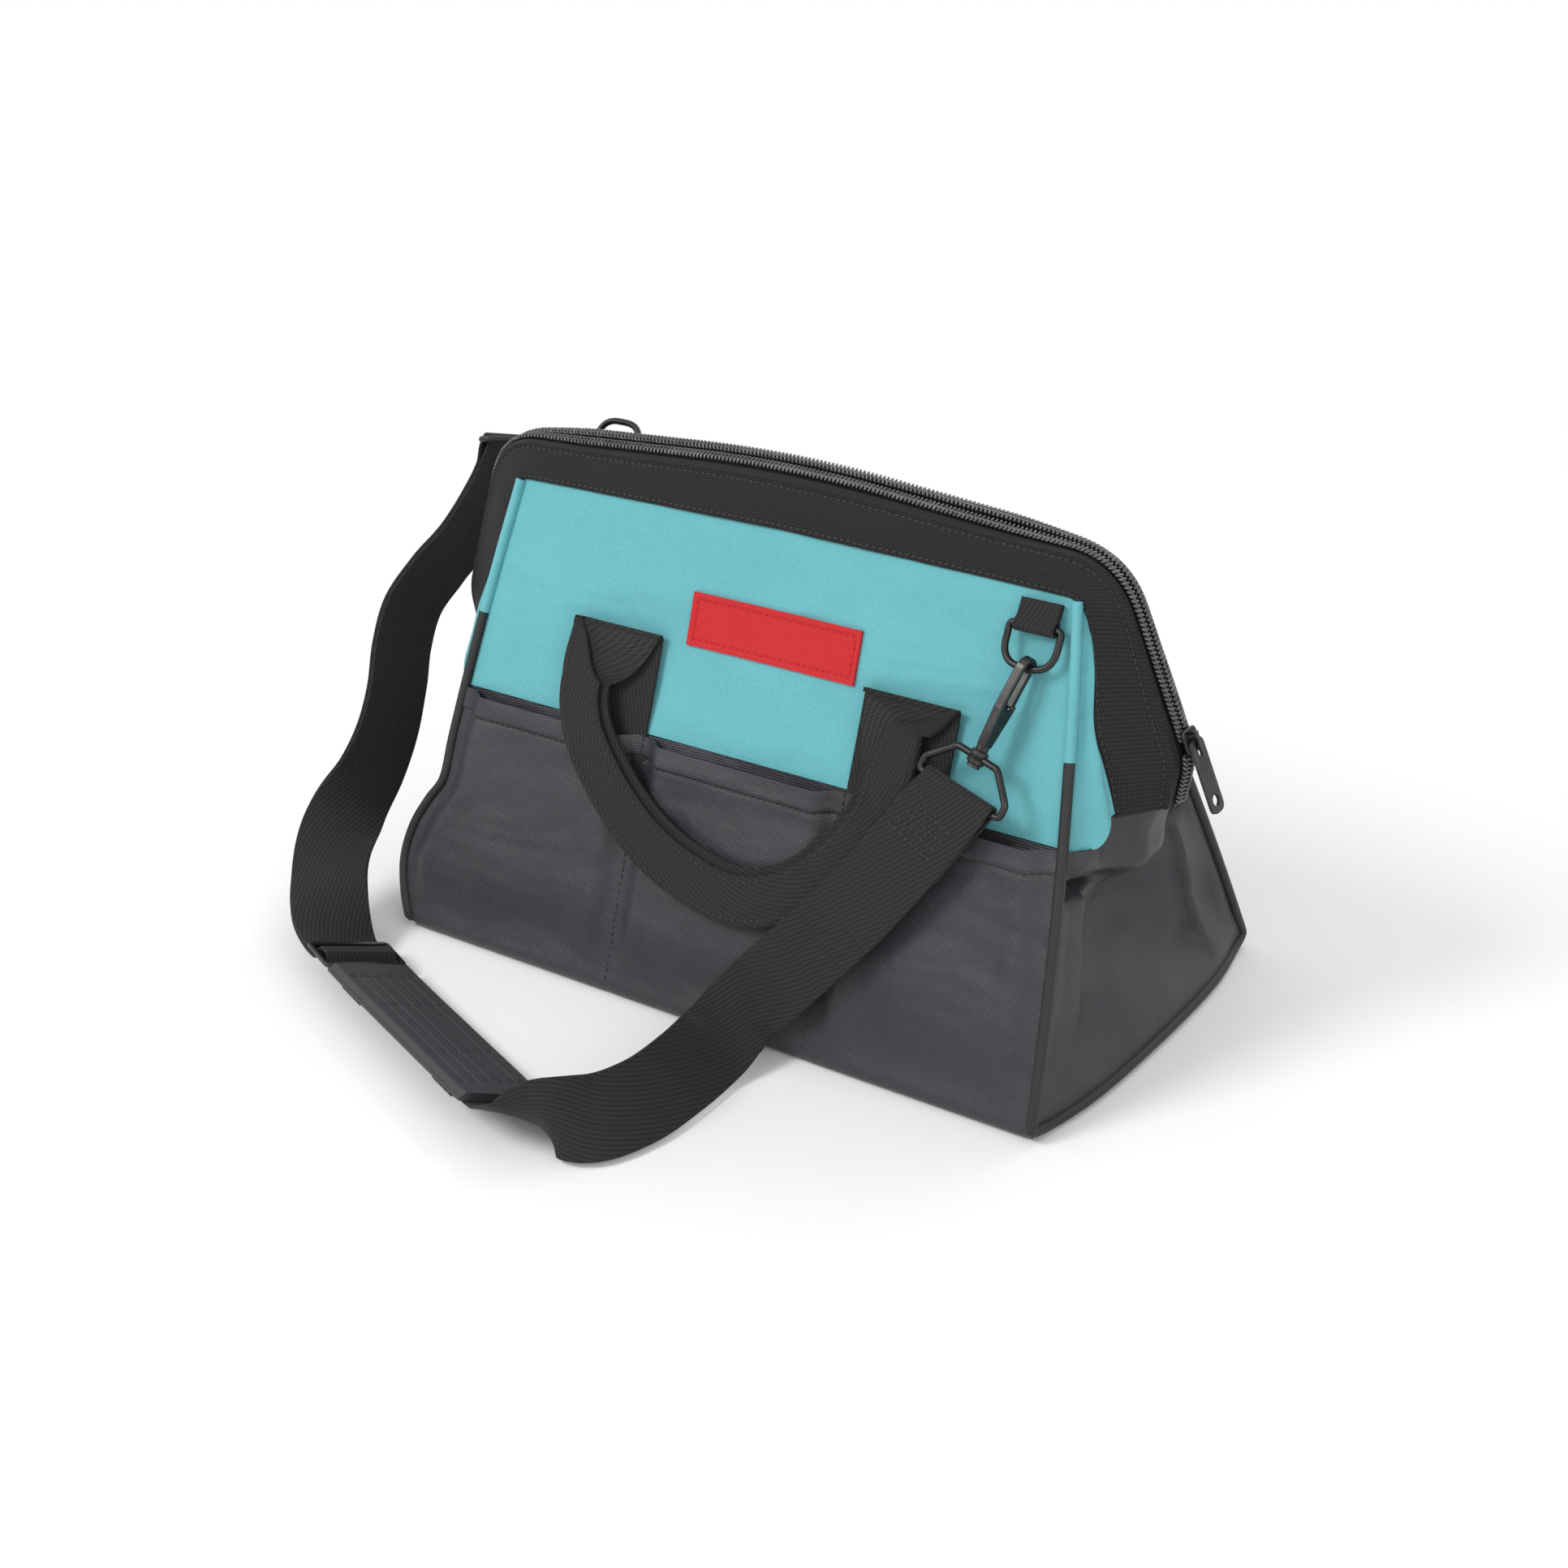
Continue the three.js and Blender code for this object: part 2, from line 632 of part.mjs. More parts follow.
function makeMouth() {
  for (const [side, name] of [[front, "front"], [back, "back"]]) {
    const bandParts = [0.3, 0.42, 0.58, 0.8, 1];
    place(`${name}_band`, sheet(mouthGrid(bandParts, side), webThickness, mouthInside), webbingMaterial);
    const tapeGrid = offsetGrid(mouthGrid([0.11, 0.2, 0.34], side), -tapeDrop, mouthInside);
    place(`${name}_zip_tape`, sheet(tapeGrid, tapeThickness, mouthInside), tapeMaterial);
    place(`${name}_zip_coil`, coilGeometry(side), coilMaterial);
    place(`${name}_frame`, frameGeometry(side), steelMaterial);
  }
  for (const [end, name] of endNames) {
    place(`${name}_frame_rivet`, rivetGeometry(end), steelMaterial);
  }
}

// Canvas gussets: from the piping out over a slack bulge and in to the edge of the band
const gussetTop = canvasTop - 24;
const gussetThickness = 0.6;
const gussetColumns = 9;
const [gussetBulgeLow, gussetBulgeHigh] = [13, 2];

function gussetGrid(end, side) {
  const heights = spread(pocketTop + gap, gussetTop, 8);
  return heights.map((z) => {
    const share = (z - pocketTop) / (canvasTop - 9 - pocketTop);
    const start = vec(halfLength(z, end) + 0.5, outerWall(z) - pipingRadius - gap - gussetThickness, z);
    const edge = bandEdgeAt(z);
    const tuck = vec(edge.x - mix(4.5, 2.6, share), edge.y - mix(1, 0.4, share), z);
    const bulge = Math.min(mix(gussetBulgeLow, gussetBulgeHigh, share), 0.9 * (start.y - tuck.y));
    const control = start.clone().lerp(tuck, 0.5).add(vec(bulge, 0, 0));
    const row = new THREE.QuadraticBezierCurve3(start, control, tuck).getPoints(gussetColumns - 1);
    return row.map((point) => vec(end * point.x, side * point.y, point.z));
  });
}

function bandEdgeAt(z) {
  const points = innerMouthShares.map((share) => innerMouthCurve.getPointAt(share)).filter((point) => point.x > 0);
  const sorted = points.sort((a, b) => a.z - b.z);
  const above = sorted.find((point) => point.z >= z) ?? sorted[sorted.length - 1];
  const below = [...sorted].reverse().find((point) => point.z < z) ?? sorted[0];
  const share = above.z === below.z ? 0 : (z - below.z) / (above.z - below.z);
  const x = mix(below.x, above.x, THREE.MathUtils.clamp(share, 0, 1));
  return vec(x, innerDepth(z), z);
}

function makeGussets() {
  for (const [end, endName] of endNames) {
    for (const [side, sideName] of [[front, "front"], [back, "back"]]) {
      const grid = gussetGrid(end, side);
      place(`${sideName}_${endName}_gusset`, sheet(grid, gussetThickness, vec(end * 120, side * 5, 160)), canvasMaterial);
    }
  }
}

// Handles: standing webbing behind the pocket hem, folded over into a grip that hangs in a U
const wallNormal = vec(0, -1, wallSlope).normalize();
const wallDown = vec(0, -wallSlope, -1).normalize();

// A point at a height off the canvas, named by its place on the front; the back is the front turned about Z
function onWall(x, z, lift, side) {
  const point = vec(x, canvasSurface(x, z), z).addScaledVector(wallNormal, lift);
  return side === front ? point : vec(-point.x, -point.y, point.z);
}

const normalOf = (side) => (side === front ? wallNormal.clone() : vec(0, -wallNormal.y, wallNormal.z));

const handleLift = webThickness / 2 + gap;

function handleRootGeometry(centre, side) {
  const heights = spread(pocketTop + gap, handleFoldHeight - webThickness, 4);
  const stations = heights.map((z) => {
    return { centre: onWall(centre, z, handleLift, side), across: vec(1, 0, 0), normal: normalOf(side) };
  });
  return ribbon(stations, handleWidth, webThickness);
}

// Grip route as place along the bag, height, lift off the canvas and share of the full webbing width
const gripShare = gripWidth / handleWidth;
const gripRoute = [
  [handleCentres[0], handleFoldHeight, 3.2, 1],
  [-84, 151, 5.2, 0.86],
  [-90, 135, 7.6, gripShare],
  [-84, 117, gripOverPocket, gripShare],
  [-65, 95, gripOverPocket, gripShare],
  [-38, 76, gripOverPocket, gripShare],
  [-10, 66, gripOverPocket, gripShare],
  [16, 63, gripOverPocket, gripShare],
  [42, 71, gripOverPocket, gripShare],
  [64, 89, gripOverPocket, gripShare],
  [79, 111, gripOverPocket, gripShare],
  [81, 130, 7.8, gripShare],
  [78, 149, 5, 0.66],
  [handleCentres[1], handleFoldHeight, 3.2, 1],
];

function gripGeometry(side) {
  const points = gripRoute.map(([x, z, lift]) => onWall(x, z, lift, side));
  const curve = new THREE.CatmullRomCurve3(points, false, "centripetal");
  const normal = normalOf(side);
  const turn = side === front ? 1 : -1;
  const last = gripRoute.length - 1;
  const stations = spread(0, 1, 33).map((t) => {
    const index = Math.min(Math.floor(t * last), last - 1);
    const share = mix(gripRoute[index][3], gripRoute[index + 1][3], t * last - index);
    const fromEnd = Math.min(t, 1 - t);
    const along = curve.getTangent(t).cross(normal).normalize();
    const level = vec(t < 0.5 ? -turn : turn, 0, 0);
    const across = level.lerp(along, ease(fromEnd, 0, 0.08)).normalize();
    const thickness = mix(webThickness, gripThickness, ease(fromEnd, 0.03, 0.3));
    return { centre: curve.getPoint(t), across, width: share * handleWidth, thickness };
  });
  const face = (way) => stations.map(({ centre, across, width, thickness }) => [-1, 1].map((a) => {
    return centre.clone().addScaledVector(across, a * width / 2).addScaledVector(normal, way * thickness / 2);
  }));
  return slab(face(1), face(-1));
}

function makeHandles() {
  for (const [side, name] of [[front, "front"], [back, "back"]]) {
    handleCentres.forEach((centre, i) => {
      const rootName = ["left", "right"][side === front ? i : 1 - i];
      place(`${name}_handle_${rootName}_root`, handleRootGeometry(centre, side), webbingMaterial);
    });
    place(`${name}_handle_grip`, gripGeometry(side), webbingMaterial);
  }
}

function makePatch() {
  const columns = spread(-patchWidth / 2, patchWidth / 2, 5);
  const rows = spread(patchMiddle.z - patchHeight / 2, patchMiddle.z + patchHeight / 2, 3);
  const grid = rows.map((z) => columns.map((x) => onWall(patchMiddle.x + x, z, gap + patchThickness, front)));
  place("patch", sheet(grid, patchThickness, bagInside), patchMaterial);
}

// A frame whose -Z axis hangs along the given direction and whose X axis lies near the given one
function hangerFrame(centre, hang, sidewaysHint) {
  const down = hang.clone().normalize();
  const sideways = sidewaysHint.clone().addScaledVector(down, -sidewaysHint.dot(down)).normalize();
  const away = down.clone().cross(sideways);
  const matrix = new THREE.Matrix4().makeBasis(sideways, away.clone().negate(), down.clone().negate());
  matrix.setPosition(centre);
  return { centre, down, away, sideways, matrix };
}

function placeIn(frame, name, geometry, material) {
  geometry.applyMatrix4(frame.matrix);
  place(name, geometry, material);
}

// Strap hardware in its own frame: the ring's bar along X at the origin, everything hanging towards -Z
const dRingBarHalf = dRingInside / 2 + wireRadius;
const dRingCorner = 10.5;

function dRingGeometry() {
  const points = [
    vec(-dRingBarHalf, 0, 0), vec(dRingBarHalf, 0, 0), vec(dRingBarHalf, 0, -dRingHeight), vec(-dRingBarHalf, 0, -dRingHeight),
  ];
  return wireRing(roundedPath(points, [2.5, 2.5, dRingCorner, dRingCorner], true), 32);
}

const eyeOuterRadius = eyeInnerRadius + hookBarWidth;
const eyeTop = -(eyeInnerRadius - wireRadius - 2 * gap);
const eyeBottom = eyeTop - eyeLength;
const hookBase = eyeBottom - hookBodyLength;
const neckDrop = 2;
const neckRadius = 2.8;
const barrelTop = hookBase - neckDrop - turningGap;
const barrelMiddle = barrelTop - barrelLength / 2;
const headTop = barrelTop - barrelLength - turningGap;
const headHeight = 1.4;
const headRadius = 3;
const hookBaseHalf = 3.2;
const gatePivot = eyeBottom - 1;
const gateTop = eyeTop - 0.5;
const gateMiddle = eyeInnerRadius + hookBarWidth / 2;
const gateHalf = hookBarWidth / 2 - 0.1;

// Hook outline in its own plane, with its eye on top and its foot below
function hookOutline() {
  const shape = new THREE.Shape();
  shape.moveTo(-hookBaseHalf, hookBase);
  shape.lineTo(hookBaseHalf, hookBase);
  shape.lineTo(eyeOuterRadius, eyeBottom - 3);
  shape.lineTo(eyeOuterRadius, eyeTop);
  shape.absarc(0, eyeTop, eyeOuterRadius, 0, Math.PI, false);
  shape.lineTo(-eyeOuterRadius, eyeBottom - 3);
  shape.lineTo(-hookBaseHalf, hookBase);
  const eye = new THREE.Path();
  eye.absarc(0, eyeTop, eyeInnerRadius, 0, Math.PI, false);
  eye.lineTo(-eyeInnerRadius, eyeBottom);
  eye.absarc(0, eyeBottom, eyeInnerRadius, Math.PI, Math.PI * 2, false);
  eye.lineTo(eyeInnerRadius, eyeTop);
  shape.holes.push(eye);
  return shape;
}

const box = (x, y, z) => new THREE.BoxGeometry(x, y, z);

const standUp = (geometry) => geometry.rotateX(Math.PI / 2).rotateZ(Math.PI / 2);

function hookGeometry() {
  const body = plate(hookOutline(), hookThickness, 0.6);
  const mouthLength = gateTop - eyeBottom + 0.6;
  const mouth = box(hookBarWidth + 2, mouthLength, hookThickness * 2);
  mouth.translate(gateMiddle + 0.4, gateTop - mouthLength / 2, 0);
  const slotLength = 6.5;
  const slot = box(hookBarWidth + 3.4, slotLength, gateThickness + 2 * turningGap);
  slot.translate(gateMiddle, eyeBottom + 1 - slotLength / 2, 0);
  const pin = cylinder(gatePinRadius, hookThickness - 0.4, 10).rotateX(Math.PI / 2).translate(gateMiddle, gatePivot, 0);
  const neck = cylinder(neckRadius, neckDrop + 0.6).translate(0, hookBase - neckDrop / 2 + 0.3, 0);
  const shankLength = barrelLength + 2 * turningGap + headHeight + 1;
  const shank = cylinder(shankRadius, shankLength).translate(0, barrelTop + turningGap + 1 - shankLength / 2, 0);
  const head = cylinder(headRadius, headHeight).translate(0, headTop - headHeight / 2, 0);
  return standUp(join(cut(body, mouth, slot), pin, neck, shank, head));
}

function gateGeometry() {
  const tip = gateTop - 0.35;
  const shape = new THREE.Shape();
  shape.moveTo(gateMiddle - gateHalf, tip);
  shape.lineTo(gateMiddle - gateHalf, gatePivot);
  shape.absarc(gateMiddle, gatePivot, gateHalf, Math.PI, Math.PI * 2, false);
  shape.lineTo(gateMiddle + gateHalf, tip);
  shape.lineTo(gateMiddle - gateHalf, tip);
  const hole = new THREE.Path();
  hole.absarc(gateMiddle, gatePivot, gatePinRadius + 0.15, 0, Math.PI * 2, true);
  shape.holes.push(hole);
  return standUp(plate(shape, gateThickness));
}

function swivelRingGeometry() {
  const barHalf = strapWidth / 2 + 2 + wireRadius;
  const barZ = barrelMiddle - strapBarDrop;
  const halfPoints = [vec(barHalf, 0, barZ), vec(barHalf, 0, barZ + 6), vec(11, 0, barrelMiddle)];
  const mirrored = halfPoints.map((point) => vec(-point.x, 0, point.z)).reverse();
  const ring = wireRing(roundedPath([...halfPoints, ...mirrored], [2.5, 4, 4, 4, 4, 2.5], true), 36);
  const barrel = cylinder(barrelRadius, barrelLength).rotateX(Math.PI / 2).translate(0, 0, barrelMiddle);
  const bore = cylinder(shankRadius + turningGap, barrelLength * 3).rotateX(Math.PI / 2).translate(0, 0, barrelMiddle);
  return cut(join(ring, barrel), bore);
}

// Loop of narrow webbing folded round the ring's bar, its two ends sewn under the band
function loopGeometry() {
  const turn = wireRadius + gap + webThickness / 2;
  const layer = (webThickness + gap) / 2;
  const station = (along, out, normal) => ({ centre: vec(0, -out, along), across: vec(1, 0, 0), normal });
  const straight = (out, way) => [loopLength, loopLength * 0.55].map((along) => station(along, out, vec(0, -way, 0)));
  const round = spread(0, Math.PI, 7).map((angle) => {
    const normal = vec(0, -Math.cos(angle), -Math.sin(angle));
    return { centre: normal.clone().multiplyScalar(turn), across: vec(1, 0, 0), normal };
  });
  return ribbon([...straight(layer, 1), ...round, ...straight(-layer, -1).reverse()], loopWidth, webThickness);
}

// Front hanger: down the canvas. Back hanger: thrown up over the band, its hook pulled to the left
const ringLift = wireRadius + 3 * gap + webThickness;
const rightwards = vec(1, 0, 0);
const frontHang = wallDown.clone().addScaledVector(wallNormal, 0.13);
const frontHanger = hangerFrame(onWall(ringStation, dRingBarHeight, ringLift, front), frontHang, rightwards);
const frontLoop = hangerFrame(frontHanger.centre, wallDown.clone().addScaledVector(wallNormal, 0.2), rightwards);
const frontContact = frontHanger.centre.clone().addScaledVector(frontHanger.down, dRingHeight);
const lean = degrees(hookLean);
const frontPull = wallDown.clone().multiplyScalar(Math.cos(lean)).add(vec(-Math.sin(lean), 0, 0));
const frontChain = hangerFrame(frontContact, frontPull.addScaledVector(wallNormal, 0.13), rightwards);

const backBar = vec(-backRingStation, canvasTopDepth + 14.5, canvasTop + 2.6);
const backLoop = hangerFrame(backBar, vec(0, 0.97, 0.2), rightwards);
const backHanger = hangerFrame(backBar, vec(0, 0.57, 0.82), rightwards);
const sideDrop = 6.5;
const backContact = backBar.clone().add(vec(-dRingBarHalf, 0, 0)).addScaledVector(backHanger.down, sideDrop);
const backPull = vec(-0.97, 0.1, -0.2);
const backChain = hangerFrame(backContact, backPull, backHanger.down);
const backSwivel = hangerFrame(backContact, backPull, vec(-0.1, 0.92, -0.37));

function makeHangers() {
  const sides = [
    ["front", frontLoop, frontHanger, frontChain, frontChain],
    ["back", backLoop, backHanger, backChain, backSwivel],
  ];
  for (const [name, loop, hanger, chain, swivel] of sides) {
    placeIn(loop, `${name}_ring_loop`, loopGeometry(), webbingMaterial);
    placeIn(hanger, `${name}_d_ring`, dRingGeometry(), hardwareMaterial);
    placeIn(chain, `${name}_snap_hook`, hookGeometry(), hardwareMaterial);
    placeIn(chain, `${name}_hook_gate`, gateGeometry(), hardwareMaterial);
    placeIn(swivel, `${name}_swivel_ring`, swivelRingGeometry(), hardwareMaterial);
  }
}

// Zip slider in its own frame: X across the zip, Y up the leg, Z out of the bag
const sliderAt = mouthKnee.clone().addScaledVector(legUp, kneeReach);
const sliderFrame = new THREE.Matrix4().makeBasis(vec(0, 1, 0), legUp, vec(0, 1, 0).cross(legUp)).setPosition(sliderAt);
const coilTop = coilThickness - tapeDrop + gap;
const topPlate = coilTop + 0.45;
const bridgeBase = topPlate + sliderPlate;
const bottomPlate = -(tapeDrop + tapeThickness + 1.7);
const tabAxis = bridgeBase + 1.15;

function roundedRectangle(width, length, radius) {
  const shape = new THREE.Shape();
  const x = width / 2;
  const y = length / 2;
  shape.moveTo(-x + radius, -y);
  shape.lineTo(x - radius, -y);
  shape.quadraticCurveTo(x, -y, x, -y + radius);
  shape.lineTo(x, y - radius);
  shape.quadraticCurveTo(x, y, x - radius, y);
  shape.lineTo(-x + radius, y);
  shape.quadraticCurveTo(-x, y, -x, y - radius);
  shape.lineTo(-x, -y + radius);
  shape.quadraticCurveTo(-x, -y, -x + radius, -y);
  return shape;
}

function makeSlider() {
  const top = plate(roundedRectangle(sliderWidth, sliderLength, 2.4), sliderPlate, 0.3).translate(0, 0, topPlate + sliderPlate / 2);
  const bottom = plate(roundedRectangle(8, sliderLength - 1, 2), 1).translate(0, 0, bottomPlate - 0.5);
  const neckHeight = topPlate - bottomPlate + 1;
  const neck = box(neckWidth, neckLength, neckHeight).translate(0, -neckOffset, (topPlate + bottomPlate) / 2);
  const arch = box(bridgeWidth, bridgeLength, bridgeHeight + 0.3).translate(0, 0, bridgeBase + bridgeHeight / 2 - 0.15);
  const tunnel = box(bridgeWidth * 2, bridgeLength - 3, bridgeHeight - 1.1).translate(0, 0, bridgeBase + (bridgeHeight - 1.1) / 2);
  const slider = join(top, bottom, neck, cut(arch, tunnel));
  slider.applyMatrix4(sliderFrame);
  place("slider", slider, hardwareMaterial);

  const shape = roundedRectangle(tabWidth, tabLength, 4);
  const windowTop = tabLength / 2 - 1.5;
  const windowHalf = bridgeWidth / 2 + 0.45;
  const slit = new THREE.Path();
  slit.moveTo(-windowHalf, windowTop);
  slit.lineTo(windowHalf, windowTop);
  slit.lineTo(windowHalf, windowTop - 6.5);
  slit.lineTo(-windowHalf, windowTop - 6.5);
  slit.lineTo(-windowHalf, windowTop);
  const hole = new THREE.Path();
  hole.absarc(0, -tabLength / 2 + 5.5, tabHoleRadius, 0, Math.PI * 2, true);
  shape.holes.push(slit, hole);
  const tab = plate(shape, tabThickness).translate(0, -windowTop - 0.75, tabAxis + 0.02);
  tab.applyMatrix4(sliderFrame);
  place("pull_tab", tab, hardwareMaterial);
}

// Shoulder strap: centres and across directions of the lying webbing, chosen by hand
const strapBarReach = -(barrelMiddle - strapBarDrop);
const frontStrapBar = frontChain.centre.clone().addScaledVector(frontChain.down, strapBarReach);
const backStrapBar = backSwivel.centre.clone().addScaledVector(backSwivel.down, strapBarReach);
const barTurn = wireRadius + gap + strapThickness / 2;
const layerPitch = strapThickness + gap;

const strapRoute = [
  [105, -70, 112, 0.8, -0.2, -0.56],
  [83, -80.5, 82, 0.8, -0.2, -0.56],
  [57, -92.8, 51.5, 0.8, -0.2, -0.56],
  [31, -99.5, 23, 0.84, -0.18, -0.5],
  [29, -113, 17, 0.9, 0, -0.43],
  [31.5, -130.5, 16.6, 0.64, 0.08, -0.75],
  [34, -153, 17.8, 0.54, 0, -0.84],
  [33, -178, 18.4, 0.47, -0.1, -0.87],
  [24.5, -198.5, 18.8, 0.39, -0.28, -0.88],
  [9, -210.5, 20.4, 0.14, -0.05, -0.99],
  [-6, -210.5, 15, 0.22, 0.72, -0.66],
  [-20, -205.2, 11.6, 0.36, 0.83, -0.41],
  [-52, -192.4, 10.4, 0.36, 0.85, -0.39],
  [-93, -176.6, 10.4, 0.36, 0.85, -0.39],
  [-133, -161.2, 10.6, 0.36, 0.85, -0.39],
  [-153.5, -153.3, 11.4, 0.36, 0.85, -0.39],
  [-168.5, -147.5, 12.6, 0.37, 0.85, -0.37],
  [-183.5, -141.5, 14.4, 0.42, 0.85, -0.33],
  [-198, -132, 21, 0.66, 0.74, -0.17],
  [-212, -117, 32, 0.88, 0.47, -0.02],
  [-221, -101, 42, 0.75, 0.65, -0.13],
  [-223, -86, 52, 0.46, 0.84, -0.27],
  [-221, -71, 65, 0.27, 0.91, -0.32],
  [-220, -57, 82, 0.15, 0.93, -0.34],
  [-221, -45, 102, 0.08, 0.94, -0.34],
  [-224, -35, 120, 0.08, 0.93, -0.36],
  [-224, -24, 137, 0.1, 0.92, -0.38],
  [-218, -10, 152, 0.13, 0.91, -0.39],
  [-209, 6, 168, 0.1, 0.92, -0.38],
  [-202, 21, 188, 0.05, 0.93, -0.36],
];

// The bar's centre moved to the face that the webbing takes round it
function beside(bar, across, towards, way) {
  const along = towards.clone().sub(bar).normalize();
  return bar.clone().addScaledVector(along.cross(across).normalize(), way * barTurn);
}

function routeFrames() {
  const hand = strapRoute.map(([x, y, z, u, v, w]) => ({ centre: vec(x, y, z), across: vec(u, v, w).normalize() }));
  const frontAcross = frontChain.sideways.clone();
  const start = { centre: beside(frontStrapBar, frontAcross, hand[0].centre, 1), across: frontAcross };
  const backAcross = backSwivel.sideways.clone();
  const end = { centre: beside(backStrapBar, backAcross, hand[hand.length - 1].centre, 1), across: backAcross };
  return [start, ...hand, end];
}

const strapFrames = routeFrames();
const strapCentres = new THREE.CatmullRomCurve3(strapFrames.map(({ centre }) => centre), false, "centripetal");
const strapAcross = new THREE.CatmullRomCurve3(strapFrames.map(({ across }) => across), false, "centripetal");
const routeSteps = 14;
strapCentres.arcLengthDivisions = routeSteps * (strapFrames.length - 1);
const strapLengths = strapCentres.getLengths();
const strapLength = strapCentres.getLength();

function strapAt(distance) {
  const t = strapCentres.getUtoTmapping(0, THREE.MathUtils.clamp(distance, 0, strapLength));
  const tangent = strapCentres.getTangent(t);
  const across = strapAcross.getPoint(t).normalize();
  const square = ease(Math.min(distance, strapLength - distance), 0, 24);
  across.addScaledVector(tangent, -across.dot(tangent) * square).normalize();
  return { centre: strapCentres.getPoint(t), across, tangent, normal: tangent.clone().cross(across).normalize() };
}

const padEndRow = 16;
const padEnd = strapLengths[padEndRow * routeSteps];
const padStart = padEnd - padLength;
const glideHalf = glideMiddleBar / 2 + glideSlot + glideBar;
const glideAt = padEnd + glideHalf + 3;
const glideLift = strapThickness / 2 + 1.5 * gap + glideThickness / 2;
const overBar = glideLift + glideLift;

// How far the webbing rises to pass over the middle bar of the tri-glide, and the doubled layer below it
const slotFrom = glideMiddleBar / 2 + 0.5;
const slotTo = glideMiddleBar / 2 + glideSlot - gap;
const glideSteps = [-glideHalf - 2, -slotTo, -slotFrom, slotFrom, slotTo, glideHalf + 2];
const overGlide = (offset) => overBar * (1 - THREE.MathUtils.clamp((Math.abs(offset) - slotFrom) / (slotTo - slotFrom), 0, 1));
const underGlide = (offset) => layerPitch * THREE.MathUtils.clamp((offset - slotFrom) / (slotTo - slotFrom), 0, 1);

function atLift(distance, lift, facing) {
  const { centre, across, normal } = strapAt(distance);
  return { centre: centre.addScaledVector(normal, lift), across, normal: normal.clone().multiplyScalar(facing) };
}

// Half a turn of webbing round a bar, from the given side of it to the other
function roundBar(bar, frame, outwards, fromSide, facing) {
  const square = outwards.clone().addScaledVector(frame.across, -outwards.dot(frame.across)).normalize();
  return spread(0, Math.PI, 7).slice(1, -1).map((angle) => {
    const away = frame.normal.clone().multiplyScalar(fromSide * Math.cos(angle));
    away.addScaledVector(square, Math.sin(angle));
    return { centre: bar.clone().addScaledVector(away, barTurn), across: frame.across, normal: away.clone().multiplyScalar(facing) };
  });
}

function strapStations() {
  const startFrame = strapAt(0);
  const endFrame = strapAt(strapLength);
  const pitch = 9.5;
  const twoTurns = 2 * barTurn;
  const settle = (distance) => mix(twoTurns, layerPitch, ease(distance, 1, 18));
  const evenly = (from, to) => spread(from, to, Math.max(2, Math.round(Math.abs(to - from) / pitch) + 1));
  const sewnEnd = evenly(foldBack, 0).map((d) => atLift(d, -settle(d), -1));
  const frontTurn = roundBar(frontStrapBar, startFrame, startFrame.tangent.clone().negate(), -1, 1);
  const beforeGlide = evenly(0, glideAt - glideHalf - 6).map((d) => atLift(d, 0, 1));
  const overTheGlide = glideSteps.map((offset) => atLift(glideAt + offset, -overGlide(offset), 1));
  const afterGlide = evenly(glideAt + glideHalf + 6, strapLength).map((d) => atLift(d, 0, 1));
  const backTurn = roundBar(backStrapBar, endFrame, endFrame.tangent, -1, -1);
  const doubled = evenly(strapLength, glideAt + glideHalf + 6).map((d) => atLift(d, settle(strapLength - d), -1));
  const underTheGlide = glideSteps.slice(2).reverse().map((offset) => atLift(glideAt + offset, underGlide(offset), -1));
  return [...sewnEnd, ...frontTurn, ...beforeGlide, ...overTheGlide, ...afterGlide, ...backTurn, ...doubled, ...underTheGlide];
}

function padGeometry() {
  const distances = spread(padStart, padEnd, 13);
  const columns = [-1, -0.84, -0.42, 0, 0.42, 0.84, 1];
  const low = strapThickness / 2 + gap;
  const layer = (height) => distances.map((distance) => columns.map((share) => {
    const { centre, across, normal } = strapAt(distance);
    const thickness = mix(padEdgeThickness, padThickness, ease(1 - Math.abs(share), 0, 0.16));
    return centre.addScaledVector(across, share * padWidth / 2).addScaledVector(normal, -(low + height * thickness));
  }));
  return slab(layer(1), layer(0));
}

// Strip that holds the strap against the underside of the pad
function keeperGeometry(distance) {
  const { centre, across, tangent, normal } = strapAt(distance);
  const reach = strapWidth / 2 + gap + keeperThickness / 2;
  const depth = strapThickness / 2 + gap + keeperThickness / 2;
  const top = -strapThickness / 2 + keeperThickness / 2;
  const at = (a, n) => centre.clone().addScaledVector(across, a).addScaledVector(normal, n);
  const bend = keeperThickness * 0.9;
  const route = [[-reach, top], [-reach, depth - bend], [-reach + bend, depth], [reach - bend, depth], [reach, depth - bend], [reach, top]];
  const facings = [[-1, 0], [-0.92, 0.38], [-0.38, 0.92], [0.38, 0.92], [0.92, 0.38], [1, 0]];
  const stations = route.map(([a, n], i) => {
    const facing = across.clone().multiplyScalar(facings[i][0]).addScaledVector(normal, facings[i][1]);
    return { centre: at(a, n), across: tangent, normal: facing };
  });
  return ribbon(stations, keeperWidth, keeperThickness);
}

